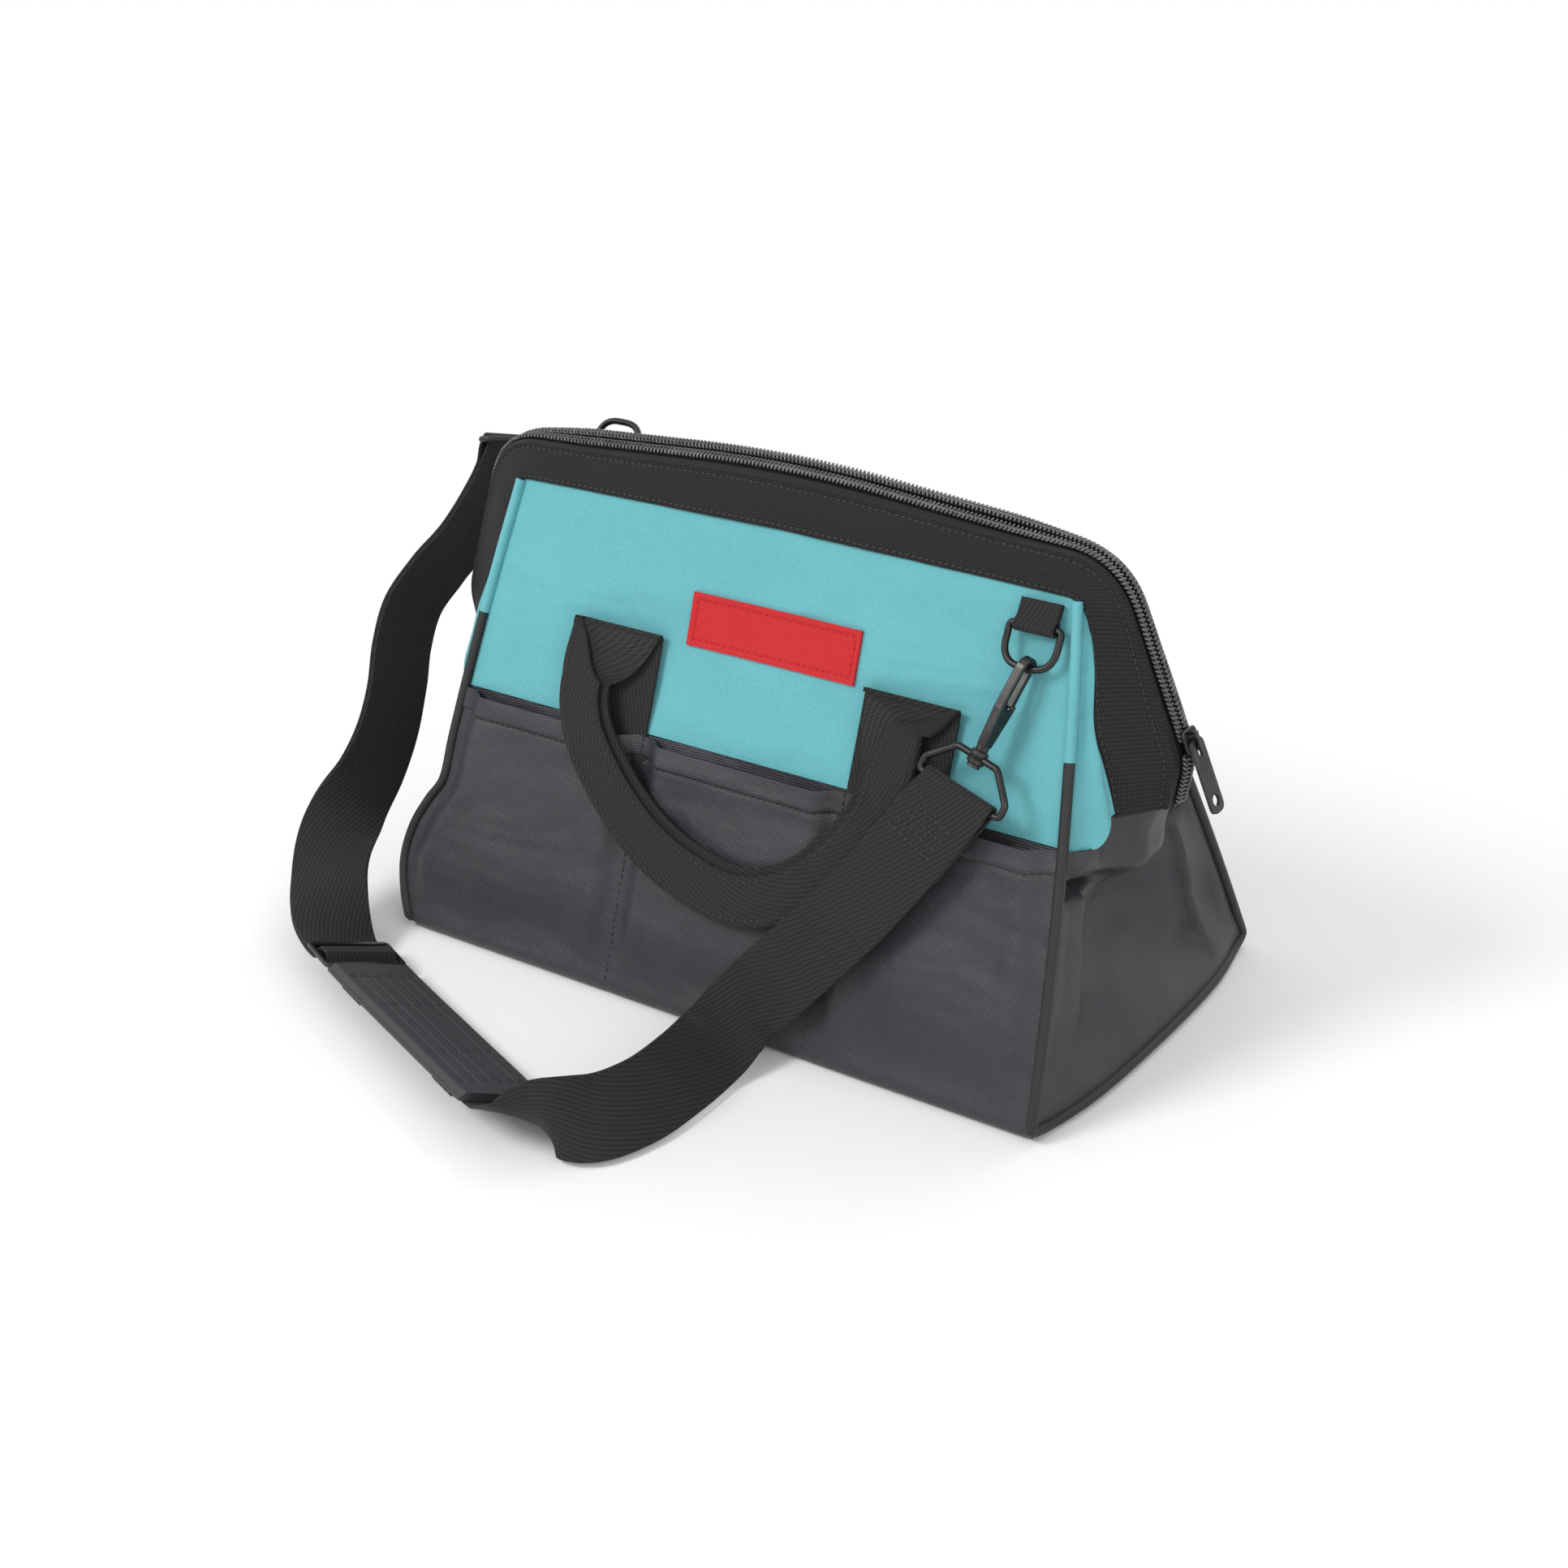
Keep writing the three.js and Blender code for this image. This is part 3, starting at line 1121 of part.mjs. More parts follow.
function triGlideGeometry() {
  const width = strapWidth + 2 * (glideRail + 0.6);
  const shape = roundedRectangle(width, 2 * glideHalf, 3);
  const slotHalf = width / 2 - glideRail;
  for (const way of [-1, 1]) {
    const near = way * glideMiddleBar / 2;
    const far = way * (glideMiddleBar / 2 + glideSlot);
    const slot = new THREE.Path();
    slot.moveTo(-slotHalf, near);
    slot.lineTo(slotHalf, near);
    slot.lineTo(slotHalf, far);
    slot.lineTo(-slotHalf, far);
    slot.lineTo(-slotHalf, near);
    shape.holes.push(slot);
  }
  const { centre, across, tangent, normal } = strapAt(glideAt);
  const up = across.clone().cross(tangent);
  const matrix = new THREE.Matrix4().makeBasis(across, tangent, up);
  matrix.setPosition(centre.clone().addScaledVector(normal, -glideLift));
  return plate(shape, glideThickness, 0.4).applyMatrix4(matrix);
}

function makeStrap() {
  place("shoulder_strap", ribbon(strapStations(), strapWidth, strapThickness), webbingMaterial);
  place("shoulder_pad", padGeometry(), rubberMaterial);
  place("right_pad_keeper", keeperGeometry(padStart + keeperMargin), webbingMaterial);
  place("left_pad_keeper", keeperGeometry(padEnd - keeperMargin), webbingMaterial);
  place("tri_glide", triGlideGeometry(), hardwareMaterial);
}

makeWalls();
makeEnds();
makePiping();
makeBottom();
makeMouth();
makeGussets();
makeHandles();
makePatch();
makeHangers();
makeSlider();
makeStrap();

export default bag;
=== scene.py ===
# Dresses the zippered tool bag: cloth, webbing, zip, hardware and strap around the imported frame.
# Shapes are worked out in millimetres in the frame's axes and become metres where a mesh is made.

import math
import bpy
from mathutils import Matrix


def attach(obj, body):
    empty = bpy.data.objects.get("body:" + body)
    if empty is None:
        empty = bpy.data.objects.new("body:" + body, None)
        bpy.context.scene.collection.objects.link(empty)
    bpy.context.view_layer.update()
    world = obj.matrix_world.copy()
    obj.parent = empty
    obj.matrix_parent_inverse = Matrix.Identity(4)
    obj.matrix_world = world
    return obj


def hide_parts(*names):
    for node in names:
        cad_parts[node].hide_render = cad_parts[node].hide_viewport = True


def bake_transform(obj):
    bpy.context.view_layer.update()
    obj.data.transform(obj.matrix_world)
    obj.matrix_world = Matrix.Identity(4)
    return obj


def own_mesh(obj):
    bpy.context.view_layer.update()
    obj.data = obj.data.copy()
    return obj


bl_info = {
    "name": "Zippered Tool Bag",
    "version": (1, 0, 0),
    "blender": (4, 5, 0),
    "location": "3D View > Sidebar > Tool Bag",
    "description": "Builds a wide-mouth tool bag with pockets, handles and a shoulder strap",
    "category": "Add Mesh",
}

import bmesh
import bpy
import numpy as np
from mathutils import Matrix, Vector, noise

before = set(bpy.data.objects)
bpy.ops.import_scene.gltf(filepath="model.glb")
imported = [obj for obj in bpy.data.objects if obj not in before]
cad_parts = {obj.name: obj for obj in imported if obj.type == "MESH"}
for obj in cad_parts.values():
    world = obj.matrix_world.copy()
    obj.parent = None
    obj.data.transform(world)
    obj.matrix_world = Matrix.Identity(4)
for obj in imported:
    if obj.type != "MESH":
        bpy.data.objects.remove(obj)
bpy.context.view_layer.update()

MM = 0.001

# Sizes of the cloth body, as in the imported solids
BASE_LENGTH = 360
BASE_DEPTH = 198
MOUTH_HEIGHT = 245
CANVAS_TOP = 213
CANVAS_TOP_HALF_LENGTH = 155
CANVAS_TOP_DEPTH = 12
POCKET_TOP = 117
CLOTH = 1.3
GUSSET = 0.6
WEB = 1.5
GAP = 0.35
BOTTOM_ROLL = 9
ROLL_REACH = 7.1
PIPING_RADIUS = 2.5
PIPING_FLOOR = PIPING_RADIUS + 2 * GAP
PIPING_SETBACK = 1.5
PIPING_TOP = 152
POCKET_SEAMS = (-56, 58)
POCKET_ROOM = 6
SEAM_HALF_WIDTH = 7
SEAM_DEPTH = 1.0
HEM_WIDTH = 10
HEM_RISE = 0.7
HEM_GROOVE = 0.5
CANVAS_SAG = 1.5
END_SAG = 14
END_SAG_TOP = 72
TAPER = (BASE_LENGTH / 2 - CANVAS_TOP_HALF_LENGTH) / CANVAS_TOP
TAPER_CURVE = 0.00032
WALL_SLOPE = (BASE_DEPTH / 2 - CANVAS_TOP_DEPTH) / CANVAS_TOP
CREASE_HEIGHT = 97
FOLD_TOP = 112
WALL_INSET = CLOTH + GAP

# Soft forms of the cloth: how large they are along each axis, and how deep
POCKET_HOLLOWS = (46, 30, 60), 3.6
POCKET_WRINKLES = (17, 20, 34), 0.9
CANVAS_HOLLOWS = (60, 30, 38), 2.8
CANVAS_WRINKLES = (26, 30, 48), 1.2
END_HOLLOWS = (40, 34, 30), 5.0
END_WRINKLES = (30, 16, 18), 2.0
GUSSET_FOLDS = (12, 12, 26), 1.8
BAND_SLACK = (24, 20, 26), 0.9

# Zip line and mouth
LEG_END = (196.5, 125)
LEG_KNEE = (201.5, 147)
MOUTH_CORNER = (169.5, 232.4)
INNER_LEG_END = (179.5, 125)
INNER_LEG_DEPTH = 27
COIL_HALF_WIDTH = 4.6
COIL_THICKNESS = 2.8
TAPE = 0.8
TAPE_DROP = WEB + GAP

# Handles, patch and the strap's hardware
HANDLE_WIDTH = 50
HANDLE_CENTRES = (-80, 83)
HANDLE_FOLD_HEIGHT = 160
GRIP_OVER_POCKET = 10.3
PATCH_MIDDLE = (3.5, 170)
PATCH_SIZE = (93, 23)
PATCH_THICKNESS = 0.9
WIRE_RADIUS = 1.6
D_RING_INSIDE = 22
D_RING_HEIGHT = 18
D_RING_CORNER = 10.5
BAR_CORNER = 2.5
LOOP_WIDTH = 20
LOOP_LENGTH = 11
STRAP_WIDTH = 38
STRAP_THICKNESS = 1.6
STRAP_FOLD_BACK = 36
BARREL_MIDDLE = -42.85
BARREL_LENGTH = 6
BARREL_RADIUS = 4
STRAP_BAR_DROP = 17.5
PAD_LENGTH = 139
PAD_WIDTH = 45
PAD_THICKNESS = 4
KEEPER_WIDTH = 18
KEEPER_THICKNESS = 1
KEEPER_INSET = 22
GLIDE_HALF = 11.5

FRONT = -1
BACK = 1
SIDES = ((FRONT, "front"), (BACK, "back"))
ENDS = ((1, "right"), (-1, "left"))
BAG_INSIDE = (0, 0, 90)
MOUTH_INSIDE = (0, 0, 190)


def mix(a, b, share):
    return a + (b - a) * share


def ease(value, low, high):
    share = np.clip((np.asarray(value, float) - low) / (high - low), 0, 1)
    return share * share * (3 - 2 * share)


def unit(vectors):
    vectors = np.asarray(vectors, float)
    return vectors / np.maximum(np.linalg.norm(vectors, axis=-1, keepdims=True), 1e-9)


def lengths_along(points):
    steps = np.linalg.norm(np.diff(points, axis=0), axis=1)
    return np.concatenate([[0], np.cumsum(steps)])


def at_lengths(points, wanted):
    """Points at the wanted distances along a run of points."""
    run = lengths_along(points)
    return np.stack([np.interp(wanted, run, points[:, k]) for k in range(points.shape[1])], axis=1)


def at_shares(points, shares):
    return at_lengths(points, np.asarray(shares) * lengths_along(points)[-1])


def smooth_run(points, steps):
    """A centripetal curve through the points, with a number of steps in each span."""
    knots = np.asarray(points, float)
    knots = np.vstack([2 * knots[0] - knots[1], knots, 2 * knots[-1] - knots[-2]])
    share = np.linspace(0, 1, steps, endpoint=False)[:, None]
    spans = []
    for i in range(1, len(knots) - 2):
        p0, p1, p2, p3 = knots[i - 1:i + 3]
        d0, d1, d2 = (max(np.dot(b - a, b - a) ** 0.25, 1e-4) for a, b in ((p0, p1), (p1, p2), (p2, p3)))
        start = ((p1 - p0) / d0 - (p2 - p0) / (d0 + d1) + (p2 - p1) / d1) * d1
        end = ((p2 - p1) / d1 - (p3 - p1) / (d1 + d2) + (p3 - p2) / d2) * d1
        a = 2 * p1 - 2 * p2 + start + end
        b = -3 * p1 + 3 * p2 - 2 * start - end
        spans.append(((a * share + b) * share + start) * share + p1)
    return np.vstack(spans + [knots[-2:-1]])


def rounded_run(points, radii, closed=False):
    """Straight stretches whose corners are rounded, as a run of close points."""
    corners = [np.asarray(p, float) for p in points]
    count = len(corners)
    run = []
    for i, corner in enumerate(corners):
        if not closed and i in (0, count - 1):
            run.append(corner[None])
            continue
        before = unit(corners[i - 1] - corner)
        after = unit(corners[(i + 1) % count] - corner)
        angle = math.acos(float(np.clip(np.dot(before, after), -1, 1)))
        reach = radii[i] / math.tan(angle / 2)
        t = np.linspace(0, 1, 13)[:, None]
        start, end = corner + before * reach, corner + after * reach
        run.append(start * (1 - t) ** 2 + 2 * corner * t * (1 - t) + end * t * t)
    if closed:
        run.append(run[0][:1])
    return np.vstack(run)


def rough(points, scale, depth, seed):
    """Soft random hollows, from 0 down to minus depth, for an array of points."""
    flat = np.asarray(points, float).reshape(-1, 3)
    values = [noise.noise(Vector((p[0] / scale[0] + seed, p[1] / scale[1], p[2] / scale[2]))) for p in flat]
    return depth * (np.clip(np.array(values), -1, 1) * 0.5 - 0.5).reshape(np.shape(points)[:-1])


# Materials

def linear(colour, alpha=1.0):
    """Linear values of an sRGB colour written as six hexadecimal digits."""
    parts = [int(colour[i:i + 2], 16) / 255 for i in (0, 2, 4)]
    return tuple(c / 12.92 if c <= 0.04045 else ((c + 0.055) / 1.055) ** 2.4 for c in parts) + (alpha,)


def add_node(tree, kind, inputs=None, output=0, **settings):
    """Adds a node, sets or links its inputs and gives one of its outputs."""
    made = tree.nodes.new(kind)
    for key, value in settings.items():
        setattr(made, key, value)
    for key, value in (inputs or {}).items():
        if isinstance(value, bpy.types.NodeSocket):
            tree.links.new(value, made.inputs[key])
        else:
            made.inputs[key].default_value = value
    return made.outputs[output]


def new_material(name, roughness, metallic=0.0, **constants):
    material = bpy.data.materials.new(name)
    material.use_nodes = True
    shader = material.node_tree.nodes["Principled BSDF"]
    shader.inputs["Roughness"].default_value = roughness
    shader.inputs["Metallic"].default_value = metallic
    for key, value in constants.items():
        shader.inputs[key.replace("_", " ")].default_value = value
    return material, material.node_tree, shader


def wave(tree, place, across, along):
    """Sine of a wave with the given half lengths in millimetres across and along the cloth."""
    steps = [math.pi / (length * MM) if length else 0.0 for length in (across, along)]
    phase = add_node(tree, "ShaderNodeVectorMath", {0: place, 1: (*steps, 0.0)}, "Value",
                     operation="DOT_PRODUCT")
    return add_node(tree, "ShaderNodeMath", {0: phase}, operation="SINE")


BLOTCH_SCALE = 14.0
GRAIN_SCALE = 900.0
CREASE_SCALE = 45.0
# Slant and size of the noise that gives the cloth its slanting drape bumps and its painted streaks of light
# and shade
STREAK_AND_DRAPE_SLANT = 0.6
STREAK_AND_DRAPE_SCALE = (8.0, 8.0, 22.0)


def woven(name, colour, valley, first, second, depth, roughness=0.8, sheen=0.15, crossing="MULTIPLY",
          specular=0.5, blotch=0.12, crumple=0.5, fleck=0.15, drape=0.0, painted_streaks=0.0):
    """Cloth with two crossing waves of thread, a blotchy tone, small crumples, slanting drape bumps and
    painted slanting streaks of light and shade in its colour.
    """
    constants = {"Sheen_Weight": sheen, "Sheen_Roughness": 0.4, "Specular_IOR_Level": specular}
    material, tree, shader = new_material(name, roughness, **constants)
    place = add_node(tree, "ShaderNodeUVMap", uv_map="cloth")
    body = add_node(tree, "ShaderNodeTexCoord", output="Object")
    waves = {0: wave(tree, place, *first), 1: wave(tree, place, *second)}
    height = add_node(tree, "ShaderNodeMath", waves, operation=crossing)
    thread = add_node(tree, "ShaderNodeMapRange", {"Value": height, "From Min": -1.0, "From Max": 1.0})
    soft = add_node(tree, "ShaderNodeTexNoise", {"Vector": body, "Scale": BLOTCH_SCALE, "Detail": 3.0})
    grain = add_node(tree, "ShaderNodeTexNoise", {"Vector": body, "Scale": GRAIN_SCALE, "Detail": 2.0})
    tones = {0: thread, 6: linear(valley), 7: linear(colour)}
    tone = add_node(tree, "ShaderNodeMix", tones, 2, data_type="RGBA")
    light = add_node(tree, "ShaderNodeMath", {0: soft, 1: blotch * 2}, operation="MULTIPLY")
    light = add_node(tree, "ShaderNodeMath", {0: light, 1: 1 - blotch}, operation="ADD")
    fine = add_node(tree, "ShaderNodeMath", {0: grain, 1: fleck}, operation="MULTIPLY")
    light = add_node(tree, "ShaderNodeMath", {0: light, 1: fine}, operation="ADD")
    light = add_node(tree, "ShaderNodeMath", {0: light, 1: fleck / 2}, operation="SUBTRACT")
    # One slanting noise gives the cloth its drape bumps and also painted streaks of light and shade in its
    # colour
    slanted = add_node(tree, "ShaderNodeMapping",
                       {"Vector": body, "Rotation": (0.0, STREAK_AND_DRAPE_SLANT, 0.0), "Scale": STREAK_AND_DRAPE_SCALE})
    lines = add_node(tree, "ShaderNodeTexNoise",
                     {"Vector": slanted, "Scale": 1.0, "Detail": 2.0, "Distortion": 0.6})
    # Painted light: the colour goes lighter and darker in soft slanting streaks, standing in for light
    # falling across the cloth
    painted_streak_light = add_node(tree, "ShaderNodeMapRange", {"Value": lines, "From Min": 0.25, "From Max": 0.75,
                                                 "To Min": 1 - painted_streaks, "To Max": 1 + painted_streaks})
    light = add_node(tree, "ShaderNodeMath", {0: light, 1: painted_streak_light}, operation="MULTIPLY")
    tinted = add_node(tree, "ShaderNodeVectorMath", {0: tone, 3: light}, operation="SCALE")
    tree.links.new(tinted, shader.inputs["Base Color"])
    gloss = add_node(tree, "ShaderNodeMapRange",
                     {"Value": soft, "To Min": roughness - 0.08, "To Max": roughness + 0.08})
    tree.links.new(gloss, shader.inputs["Roughness"])
    creases = add_node(tree, "ShaderNodeTexNoise",
                       {"Vector": body, "Scale": CREASE_SCALE, "Detail": 4.0, "Roughness": 0.55})
    relief = add_node(tree, "ShaderNodeBump", {"Height": lines, "Distance": drape * MM, "Strength": 1.0})
    for layer, size in ((creases, crumple), (thread, depth)):
        relief = add_node(tree, "ShaderNodeBump", {"Height": layer, "Distance": size * MM, "Strength": 1.0,
                                                   "Normal": relief})
    tree.links.new(relief, shader.inputs["Normal"])
    return material


def coated_metal(name, colour, wear_and_highlight, roughness, metallic=0.75):
    """Smooth coated metal, a little uneven, paler on its sharp convex edges: worn edges on the hardware and
    steel, a painted highlight on the zip coil.
    """
    material, tree, shader = new_material(name, roughness, metallic)
    body = add_node(tree, "ShaderNodeTexCoord", output="Object")
    soft = add_node(tree, "ShaderNodeTexNoise", {"Vector": body, "Scale": 130.0, "Detail": 4.0})
    # Paler convex edges: real wear on the hardware and the steel, a painted highlight on the zip coil
    edge = add_node(tree, "ShaderNodeNewGeometry", output="Pointiness")
    rub_and_highlight = add_node(tree, "ShaderNodeMapRange",
                   {"Value": edge, "From Min": 0.5, "From Max": 0.62, "To Max": 0.8})
    patchy = add_node(tree, "ShaderNodeMath", {0: rub_and_highlight, 1: soft}, operation="MULTIPLY")
    tones = {0: patchy, 6: linear(colour), 7: linear(wear_and_highlight)}
    tone = add_node(tree, "ShaderNodeMix", tones, 2, data_type="RGBA")
    tree.links.new(tone, shader.inputs["Base Color"])
    gloss = add_node(tree, "ShaderNodeMapRange",
                     {"Value": soft, "To Min": roughness - 0.07, "To Max": roughness + 0.1})
    tree.links.new(gloss, shader.inputs["Roughness"])
    relief = add_node(tree, "ShaderNodeBump", {"Height": soft, "Distance": 0.05 * MM, "Strength": 1.0})
    tree.links.new(relief, shader.inputs["Normal"])
    return material


def material(name):
    return bpy.data.materials[name]


def make_materials():
    look = bpy.context.scene.tool_bag_colours
    # The coated cloth and the canvas carry faint painted streaks of light and shade in their colour
    woven("Coated honeycomb cloth", look.coated, look.coated_valley, (1.15, 1.15), (1.15, -1.15), 0.16,
          roughness=0.46, sheen=0.0, specular=0.48, blotch=0.16, crumple=1.3, drape=6.0, painted_streaks=0.05)
    woven("Teal oxford canvas", look.canvas, look.canvas_valley, (0.55, 0), (0, 0.55), 0.09,
          roughness=0.85, sheen=0.1, specular=0.2, blotch=0.08, crumple=1.4, fleck=0.1, drape=9.0, painted_streaks=0.05)
    woven("Black strap webbing", look.webbing, look.webbing_valley, (1.1, 0.7), (0, 0.9), 0.3,
          roughness=0.75, sheen=0.06, specular=0.3, blotch=0.12, crumple=0.6)
    woven("Black ribbed binding", look.binding, look.webbing_valley, (0, 0.95), (0.7, 0), 0.3,
          roughness=0.7, sheen=0.05, specular=0.3, crossing="ADD", crumple=0.8)
    woven("Zip tape herringbone", look.tape, look.webbing_valley, (0.6, 0.6), (0.6, 0), 0.12,
          roughness=0.8, sheen=0.05, specular=0.25)
    woven("Piping cover cloth", look.piping, look.webbing_valley, (0.7, 0.7), (0.7, -0.7), 0.1,
          roughness=0.55, sheen=0.05, specular=0.5)
    woven("Red satin-stitched patch", look.patch, look.patch_valley, (0, 0.4), (1.1, 0.4), 0.1,
          roughness=0.6, sheen=0.1, specular=0.3, crossing="ADD", blotch=0.04, crumple=0.3, fleck=0.06)
    woven("Moulded rubber pad", look.pad, look.pad_valley, (0.8, 0), (0, 0.8), 0.05,
          roughness=0.62, sheen=0.0, specular=0.4, blotch=0.1)
    woven("Black pressed board", look.board, look.webbing_valley, (1.5, 0), (0, 1.5), 0.05,
          roughness=0.6, sheen=0.0)
    woven("Black sewing thread", look.thread, look.webbing_valley, (0.3, 0), (0, 0.3), 0.05,
          roughness=0.6, sheen=0.3)
    coated_metal("Gunmetal coated hardware", look.hardware, look.hardware_worn, 0.34)
    coated_metal("Bare spring steel", look.steel, look.steel_worn, 0.38, 0.95)
    # On the zip coil the paler edge colour is a painted highlight, there to make the coil show
    coated_metal("Dark zip coil nylon", look.coil, look.coil_highlight, 0.28, 0.45)


# Mesh making

def new_object(name, data):
    obj = bpy.data.objects.new(name, data)
    bpy.context.scene.collection.objects.link(obj)
    return obj


def finish_mesh(obj, material_name, smooth_angle=40):
    obj.data.materials.clear()
    obj.data.materials.append(material(material_name))
    obj.data.shade_smooth()
    if smooth_angle:
        obj.data.set_sharp_from_angle(angle=math.radians(smooth_angle))
    return obj


def mesh_object(name, points, faces, corners, material_name, smooth_angle=40):
    """A mesh from points in millimetres, with cloth coordinates for each face corner in millimetres."""
    mesh = bpy.data.meshes.new(name)
    mesh.from_pydata((np.asarray(points) * MM).tolist(), [], faces)
    layer = mesh.uv_layers.new(name="cloth")
    layer.data.foreach_set("uv", (np.asarray(corners, float) * MM).astype(np.float32).ravel())
    obj = new_object(name, mesh)
    shell = bmesh.new()
    shell.from_mesh(mesh)
    bmesh.ops.recalc_face_normals(shell, faces=shell.faces)
    if shell.calc_volume(signed=True) < 0:
        bmesh.ops.reverse_faces(shell, faces=shell.faces)
    shell.to_mesh(mesh)
    shell.free()
    return finish_mesh(obj, material_name, smooth_angle)


def grid_normals(grid):
    return unit(np.cross(np.gradient(grid, axis=0), np.gradient(grid, axis=1)))


def moved_out(grid, distance, inside):
    """The grid moved along its own normals, away from a point inside."""
    normals = grid_normals(grid)
    i, j = grid.shape[0] // 2, grid.shape[1] // 2
    facing = 1 if np.dot(grid[i, j] - np.asarray(inside, float), normals[i, j]) > 0 else -1
    return grid + normals * facing * np.asarray(distance)[..., None]


def grid_cloth(grid):
    """Cloth coordinates of a grid: across its columns, then along its rows."""
    across = np.linalg.norm(np.diff(grid, axis=1), axis=2)
    along = np.linalg.norm(np.diff(grid, axis=0), axis=2)
    u = np.concatenate([np.zeros((grid.shape[0], 1)), np.cumsum(across, axis=1)], axis=1)
    v = np.concatenate([np.zeros((1, grid.shape[1])), np.cumsum(along, axis=0)], axis=0)
    u -= u[:, grid.shape[1] // 2][:, None]
    return np.stack([u, v], axis=2)


def slab(name, outer, inner, material_name):
    """A closed piece of cloth between two grids."""
    rows, columns = outer.shape[:2]
    cloth = grid_cloth(outer)
    index = np.arange(rows * columns).reshape(rows, columns)
    under = index + rows * columns
    faces = []
    for a, b, c, d in ((index[:-1, :-1], index[1:, :-1], index[1:, 1:], index[:-1, 1:]),
                       (under[:-1, :-1], under[:-1, 1:], under[1:, 1:], under[1:, :-1])):
        faces += np.stack([a, b, c, d], axis=2).reshape(-1, 4).tolist()
    rim = np.concatenate([index[0, :-1], index[:-1, -1], index[-1, :0:-1], index[:0:-1, 0]])
    for a, b in zip(rim, np.roll(rim, -1)):
        faces.append([int(a), int(b), int(b) + rows * columns, int(a) + rows * columns])
    flat = np.concatenate([cloth.reshape(-1, 2)] * 2)
    corners = flat[np.array(faces).ravel()]
    points = np.concatenate([outer.reshape(-1, 3), inner.reshape(-1, 3)])
    return mesh_object(name, points, faces, corners, material_name)


def cloth_piece(name, grid, thickness, inside, material_name):
    return slab(name, grid, moved_out(grid, np.full(grid.shape[:2], -thickness), inside), material_name)


def loft(name, rings, material_name, closed=False, smooth_angle=40):
    """A closed body through rings of points, with capped ends unless it closes on itself."""
    rings = np.asarray(rings, float)
    stations, around = rings.shape[:2]
    index = np.arange(stations * around).reshape(stations, around)
    middle = stations // 2
    loop = np.vstack([rings[middle], rings[middle][:1]])
    u = lengths_along(loop)
    v = lengths_along(np.vstack([rings.mean(axis=1), rings.mean(axis=1)[:1]]))
    faces, corners = [], []
    last = stations if closed else stations - 1
    for i in range(last):
        k = (i + 1) % stations
        for j in range(around):
            n = (j + 1) % around
            faces.append([int(index[i, j]), int(index[i, n]), int(index[k, n]), int(index[k, j])])
            corners += [(u[j], v[i]), (u[j + 1], v[i]), (u[j + 1], v[i + 1]), (u[j], v[i + 1])]
    if not closed:
        for i, order in ((0, -1), (stations - 1, 1)):
            faces.append(index[i, ::order].tolist())
            corners += [(u[j], v[i]) for j in range(around)][::order]
    return mesh_object(name, rings.reshape(-1, 3), faces, corners, material_name, smooth_angle)


def web_section(width, thickness, columns=8):
    """Outline of a webbing strip: across first along the top face, then back along the lower one."""
    round_off = thickness * 0.3
    top = [(a, thickness / 2) for a in np.linspace(-width / 2 + round_off, width / 2 - round_off, columns)]
    low = [(a, -n) for a, n in reversed(top)]
    return np.array(top + [(width / 2, 0)] + low + [(-width / 2, 0)])


def ribbon(name, centres, across, normals, width, thickness, material_name):
    section = web_section(width, thickness)
    rings = centres[:, None] + across[:, None] * section[None, :, :1]
    return loft(name, rings + normals[:, None] * section[None, :, 1:], material_name)


def tube(name, run, radius, material_name, sides=14, closed=False):
    """A round bar along a run of points, its section carried along without twisting."""
    run = np.asarray(run, float)
    if closed:
        run = run[:-1]
        tangents = unit(np.roll(run, -1, axis=0) - np.roll(run, 1, axis=0))
    else:
        tangents = unit(np.gradient(run, axis=0))
    side = unit(np.cross(tangents[0], (0.3, 0.5, 0.81)))
    angles = np.linspace(0, 2 * math.pi, sides, endpoint=False)
    rings = []
    for point, tangent in zip(run, tangents):
        side = unit(side - tangent * np.dot(side, tangent))
        other = np.cross(tangent, side)
        rings.append(point + radius * (np.cos(angles)[:, None] * side + np.sin(angles)[:, None] * other))
    return loft(name, rings, material_name, closed, smooth_angle=60)


def joined(name, *objects):
    """One object holding all the given meshes, which share a material."""
    whole = bmesh.new()
    for obj in objects:
        whole.from_mesh(obj.data)
    mesh = bpy.data.meshes.new(name)
    whole.to_mesh(mesh)
    whole.free()
    for item in objects[0].data.materials:
        mesh.materials.append(item)
    obj = new_object(name, mesh)
    for old in objects:
        bpy.data.objects.remove(old)
    return obj


def settle(obj, body=None, blend=None, replaces=()):
    """Parents a finished piece to the empty of the body that it moves with, or bakes its transform where a
    blend between two bodies is given, and hides the solids that it stands for.
    """
    if blend:
        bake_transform(obj)
    else:
        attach(obj, body)
    if replaces:
        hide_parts(*replaces)
    return obj


# Node trees for what follows a path

def path_object(name, runs):
    """An object of loose edges through runs of points in millimetres."""
    points, edges = [], []
    for run in runs:
        first = len(points)
        points += (np.asarray(run, float) * MM).tolist()
        edges += [(i, i + 1) for i in range(first, len(points) - 1)]
    mesh = bpy.data.meshes.new(name)
    mesh.from_pydata(points, edges, [])
    return new_object(name, mesh)


def tree_with_sockets(name, sizes):
    tree = bpy.data.node_groups.new(name, "GeometryNodeTree")
    tree.interface.new_socket("Path", in_out="INPUT", socket_type="NodeSocketGeometry")
    for label in sizes:
        tree.interface.new_socket(label, in_out="INPUT", socket_type="NodeSocketFloat")
    tree.interface.new_socket("Material", in_out="INPUT", socket_type="NodeSocketMaterial")
    tree.interface.new_socket("Shape", in_out="OUTPUT", socket_type="NodeSocketGeometry")
    return tree, tree.nodes.new("NodeGroupInput")


